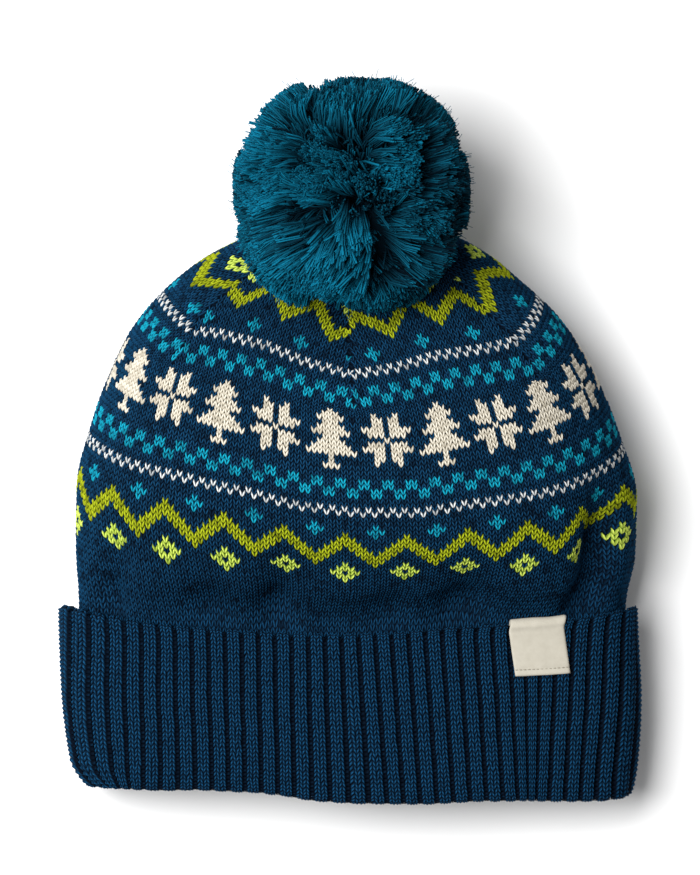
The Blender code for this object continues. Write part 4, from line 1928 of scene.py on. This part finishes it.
    def add_strands(
        self,
        name: str,
        strands: tuple[np.ndarray, np.ndarray, np.ndarray],
        shade: np.ndarray,
        radius: float,
        material: bpy.types.Material,
        chance: np.random.Generator,
    ) -> None:
        """Adds a piece of bent strands as thin tubes, closed at their tips and painted dark towards their
        roots as shade.

        Args:
            name: The piece's name.
            strands: Where the strands start, what they bend towards and where they end.
            shade: The tone of each strand.
            radius: The radius of a strand.
            material: Their material.
            chance: The source of their turn and thickness.
        """
        start, bend, tip = strands
        shares, widths, tones = np.array([(ring.share, ring.width, ring.tone) for ring in STRAND_RINGS]).T
        t = shares[None, :, None]
        line = (1 - t) ** 2 * start[:, None] + 2 * t * (1 - t) * bend[:, None] + t**2 * tip[:, None]
        slope = self.unit(2 * (1 - t) * (bend - start)[:, None] + 2 * t * (tip - bend)[:, None])
        side = self.unit(np.cross(slope, self.unit(chance.normal(0, 1, (len(start), 1, 3)))))
        other = np.cross(slope, side)
        angles = np.arange(self.strand_sides) * 2 * math.pi / self.strand_sides
        thickness = chance.normal(1.0, self.thickness_spread, (len(start), 1))
        size = radius * widths[None, :] * np.clip(thickness, *self.thickness_limits)
        rings = [line + size[..., None] * (side * math.cos(a) + other * math.sin(a)) for a in angles]
        points = np.stack(rings, axis=2)
        per_strand = len(shares) * len(angles)
        sides = repeated(grid_faces(len(shares), len(angles), True), len(start), per_strand)
        cut = points[:, -1].reshape(-1, 3)
        caps = len(start) * per_strand + np.arange(len(cut)).reshape(-1, len(angles))
        tone = np.repeat(shade[:, None] * tones[None, :], len(angles), axis=1).ravel()
        # The caps at the cut ends get painted shade.
        tone = np.concatenate([tone, np.repeat(shade * self.cut_tone, len(angles))])
        points = np.concatenate([points.reshape(-1, 3), cut])
        piece = add_piece(name, points, [sides, caps], material, Slot.POMPOM, tone)
        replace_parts(piece, "pompom")

    def build_core(self) -> None:
        """The middle of the ball, painted dark as shade, which closes the view between the strands."""
        rings, columns = self.core_rings, self.core_columns
        turn = np.arange(columns) / columns * 2 * math.pi
        lean = np.linspace(self.core_hole, math.pi - self.core_hole, rings)
        x, y = np.outer(np.sin(lean), np.cos(turn)), np.outer(np.sin(lean), np.sin(turn))
        z = np.outer(np.cos(lean), np.ones(columns))
        around = np.stack([x, y, z], axis=-1).reshape(-1, 3)
        reach = self.radius * self.core_share * self.squared(around)
        depth = np.ones(len(around))
        for parting in PARTINGS:
            angle = self.angle_to(around, self.unit(np.array(parting.direction)))
            depth -= self.core_parting * bell(angle / (self.core_parting_width * parting.fade))
        reach *= np.clip(depth, self.core_least, 1.0)
        clear, _ = self.kept_clear(self.centre + around * reach[:, None])
        points = self.centre + around * (reach * clear)[:, None]
        caps = np.array([np.arange(columns)[::-1], (rings - 1) * columns + np.arange(columns)])
        sides = grid_faces(rings, columns, True)[:, ::-1]
        material = self.finishes.pompom_core.material()
        piece = add_piece("pompom_core", points, [sides, caps[:, ::-1]], material, Slot.POMPOM)
        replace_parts(piece, "pompom")

    def build(self) -> None:
        """Builds the pompom."""
        self.build_core()
        self.build_strands()


@dataclass
class Studio:
    """The pale floor, the soft lights and the camera straight above."""

    floor_size: float = 6.0
    floor_colour: Colour = (0.93, 0.93, 0.93)
    floor_roughness: float = 0.95
    floor_specular: float = 0.0
    aim: Triple = (-0.8 * MM, 13.0 * MM, 35.0 * MM)
    frame_height: float = 350.0 * MM
    lens: float = 300.0
    sensor: float = 36.0
    far: float = 20.0
    world_strength: float = 0.30
    key_place: Triple = (-0.57, 0.20, 1.36)
    key_size: float = 0.95
    key_power: float = 38.0

    def build_floor(self) -> None:
        """The floor that the hat lies on."""
        half = self.floor_size / 2
        mesh = bpy.data.meshes.new("floor")
        corners = [(-half, -half, 0), (half, -half, 0), (half, half, 0), (-half, half, 0)]
        mesh.from_pydata(corners, [], [(0, 1, 2, 3)])
        made = MaterialBuilder("pale_floor", self.floor_roughness, self.floor_specular)
        made.shader.inputs["Base Color"].default_value = (*self.floor_colour, 1.0)
        mesh.materials.append(made.material)
        floor = bpy.data.objects.new("floor", mesh)
        bpy.context.scene.collection.objects.link(floor)
        floor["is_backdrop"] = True

    def build_light(self, name: str, place: Triple, size: float, power: float) -> None:
        """Adds a soft square light that faces the hat.

        Args:
            name: Its name.
            place: Where it stands.
            size: The length of its side.
            power: Its power in watts.
        """
        lamp = bpy.data.lights.new(name, "AREA")
        lamp.shape = "SQUARE"
        lamp.size = size
        lamp.energy = power
        light = bpy.data.objects.new(name, lamp)
        light.location = place
        towards = Vector(self.aim) - Vector(place)
        light.rotation_euler = towards.to_track_quat("-Z", "Y").to_euler()
        bpy.context.scene.collection.objects.link(light)

    def build_world(self) -> None:
        """The even white light from all sides."""
        world = bpy.data.worlds.new("studio")
        world.use_nodes = True
        background = world.node_tree.nodes["Background"]
        background.inputs["Color"].default_value = (1.0, 1.0, 1.0, 1.0)
        background.inputs["Strength"].default_value = self.world_strength
        bpy.context.scene.world = world

    def build_camera(self) -> None:
        """The camera straight above the hat, framed as in the photograph."""
        camera = bpy.data.cameras.new("camera")
        camera.lens = self.lens
        camera.sensor_width = self.sensor
        camera.clip_end = self.far
        distance = self.frame_height * self.lens / self.sensor
        holder = bpy.data.objects.new("camera", camera)
        holder.location = (self.aim[0], self.aim[1], self.aim[2] + distance)
        bpy.context.scene.collection.objects.link(holder)
        bpy.context.scene.camera = holder

    def build(self) -> None:
        """Builds the studio."""
        bpy.context.scene.view_settings.view_transform = "Standard"
        self.build_floor()
        self.build_world()
        self.build_light("key_light", self.key_place, self.key_size, self.key_power)
        self.build_camera()


def write_sizes(before: tuple, after: tuple) -> None:
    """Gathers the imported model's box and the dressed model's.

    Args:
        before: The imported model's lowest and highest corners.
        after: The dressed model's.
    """
    sizes = {
        name: [[float(v) for v in corner] for corner in box]
        for name, box in (("cad", before), ("visual", after))
    }


def main() -> None:
    """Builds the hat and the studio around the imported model."""
    logging.basicConfig(level=logging.INFO, format="%(name)s %(message)s")
    finishes = Finishes()
    surface = BodySurface()
    Studio().build()
    Crown(surface, Chart(), finishes).build()
    cuff = Cuff(surface, finishes)
    cuff.build()
    Label(surface, cuff, finishes).build()
    Pompom(finishes).build()
    write_sizes(cad_bounds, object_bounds())


if __name__ == "__main__":
    main()
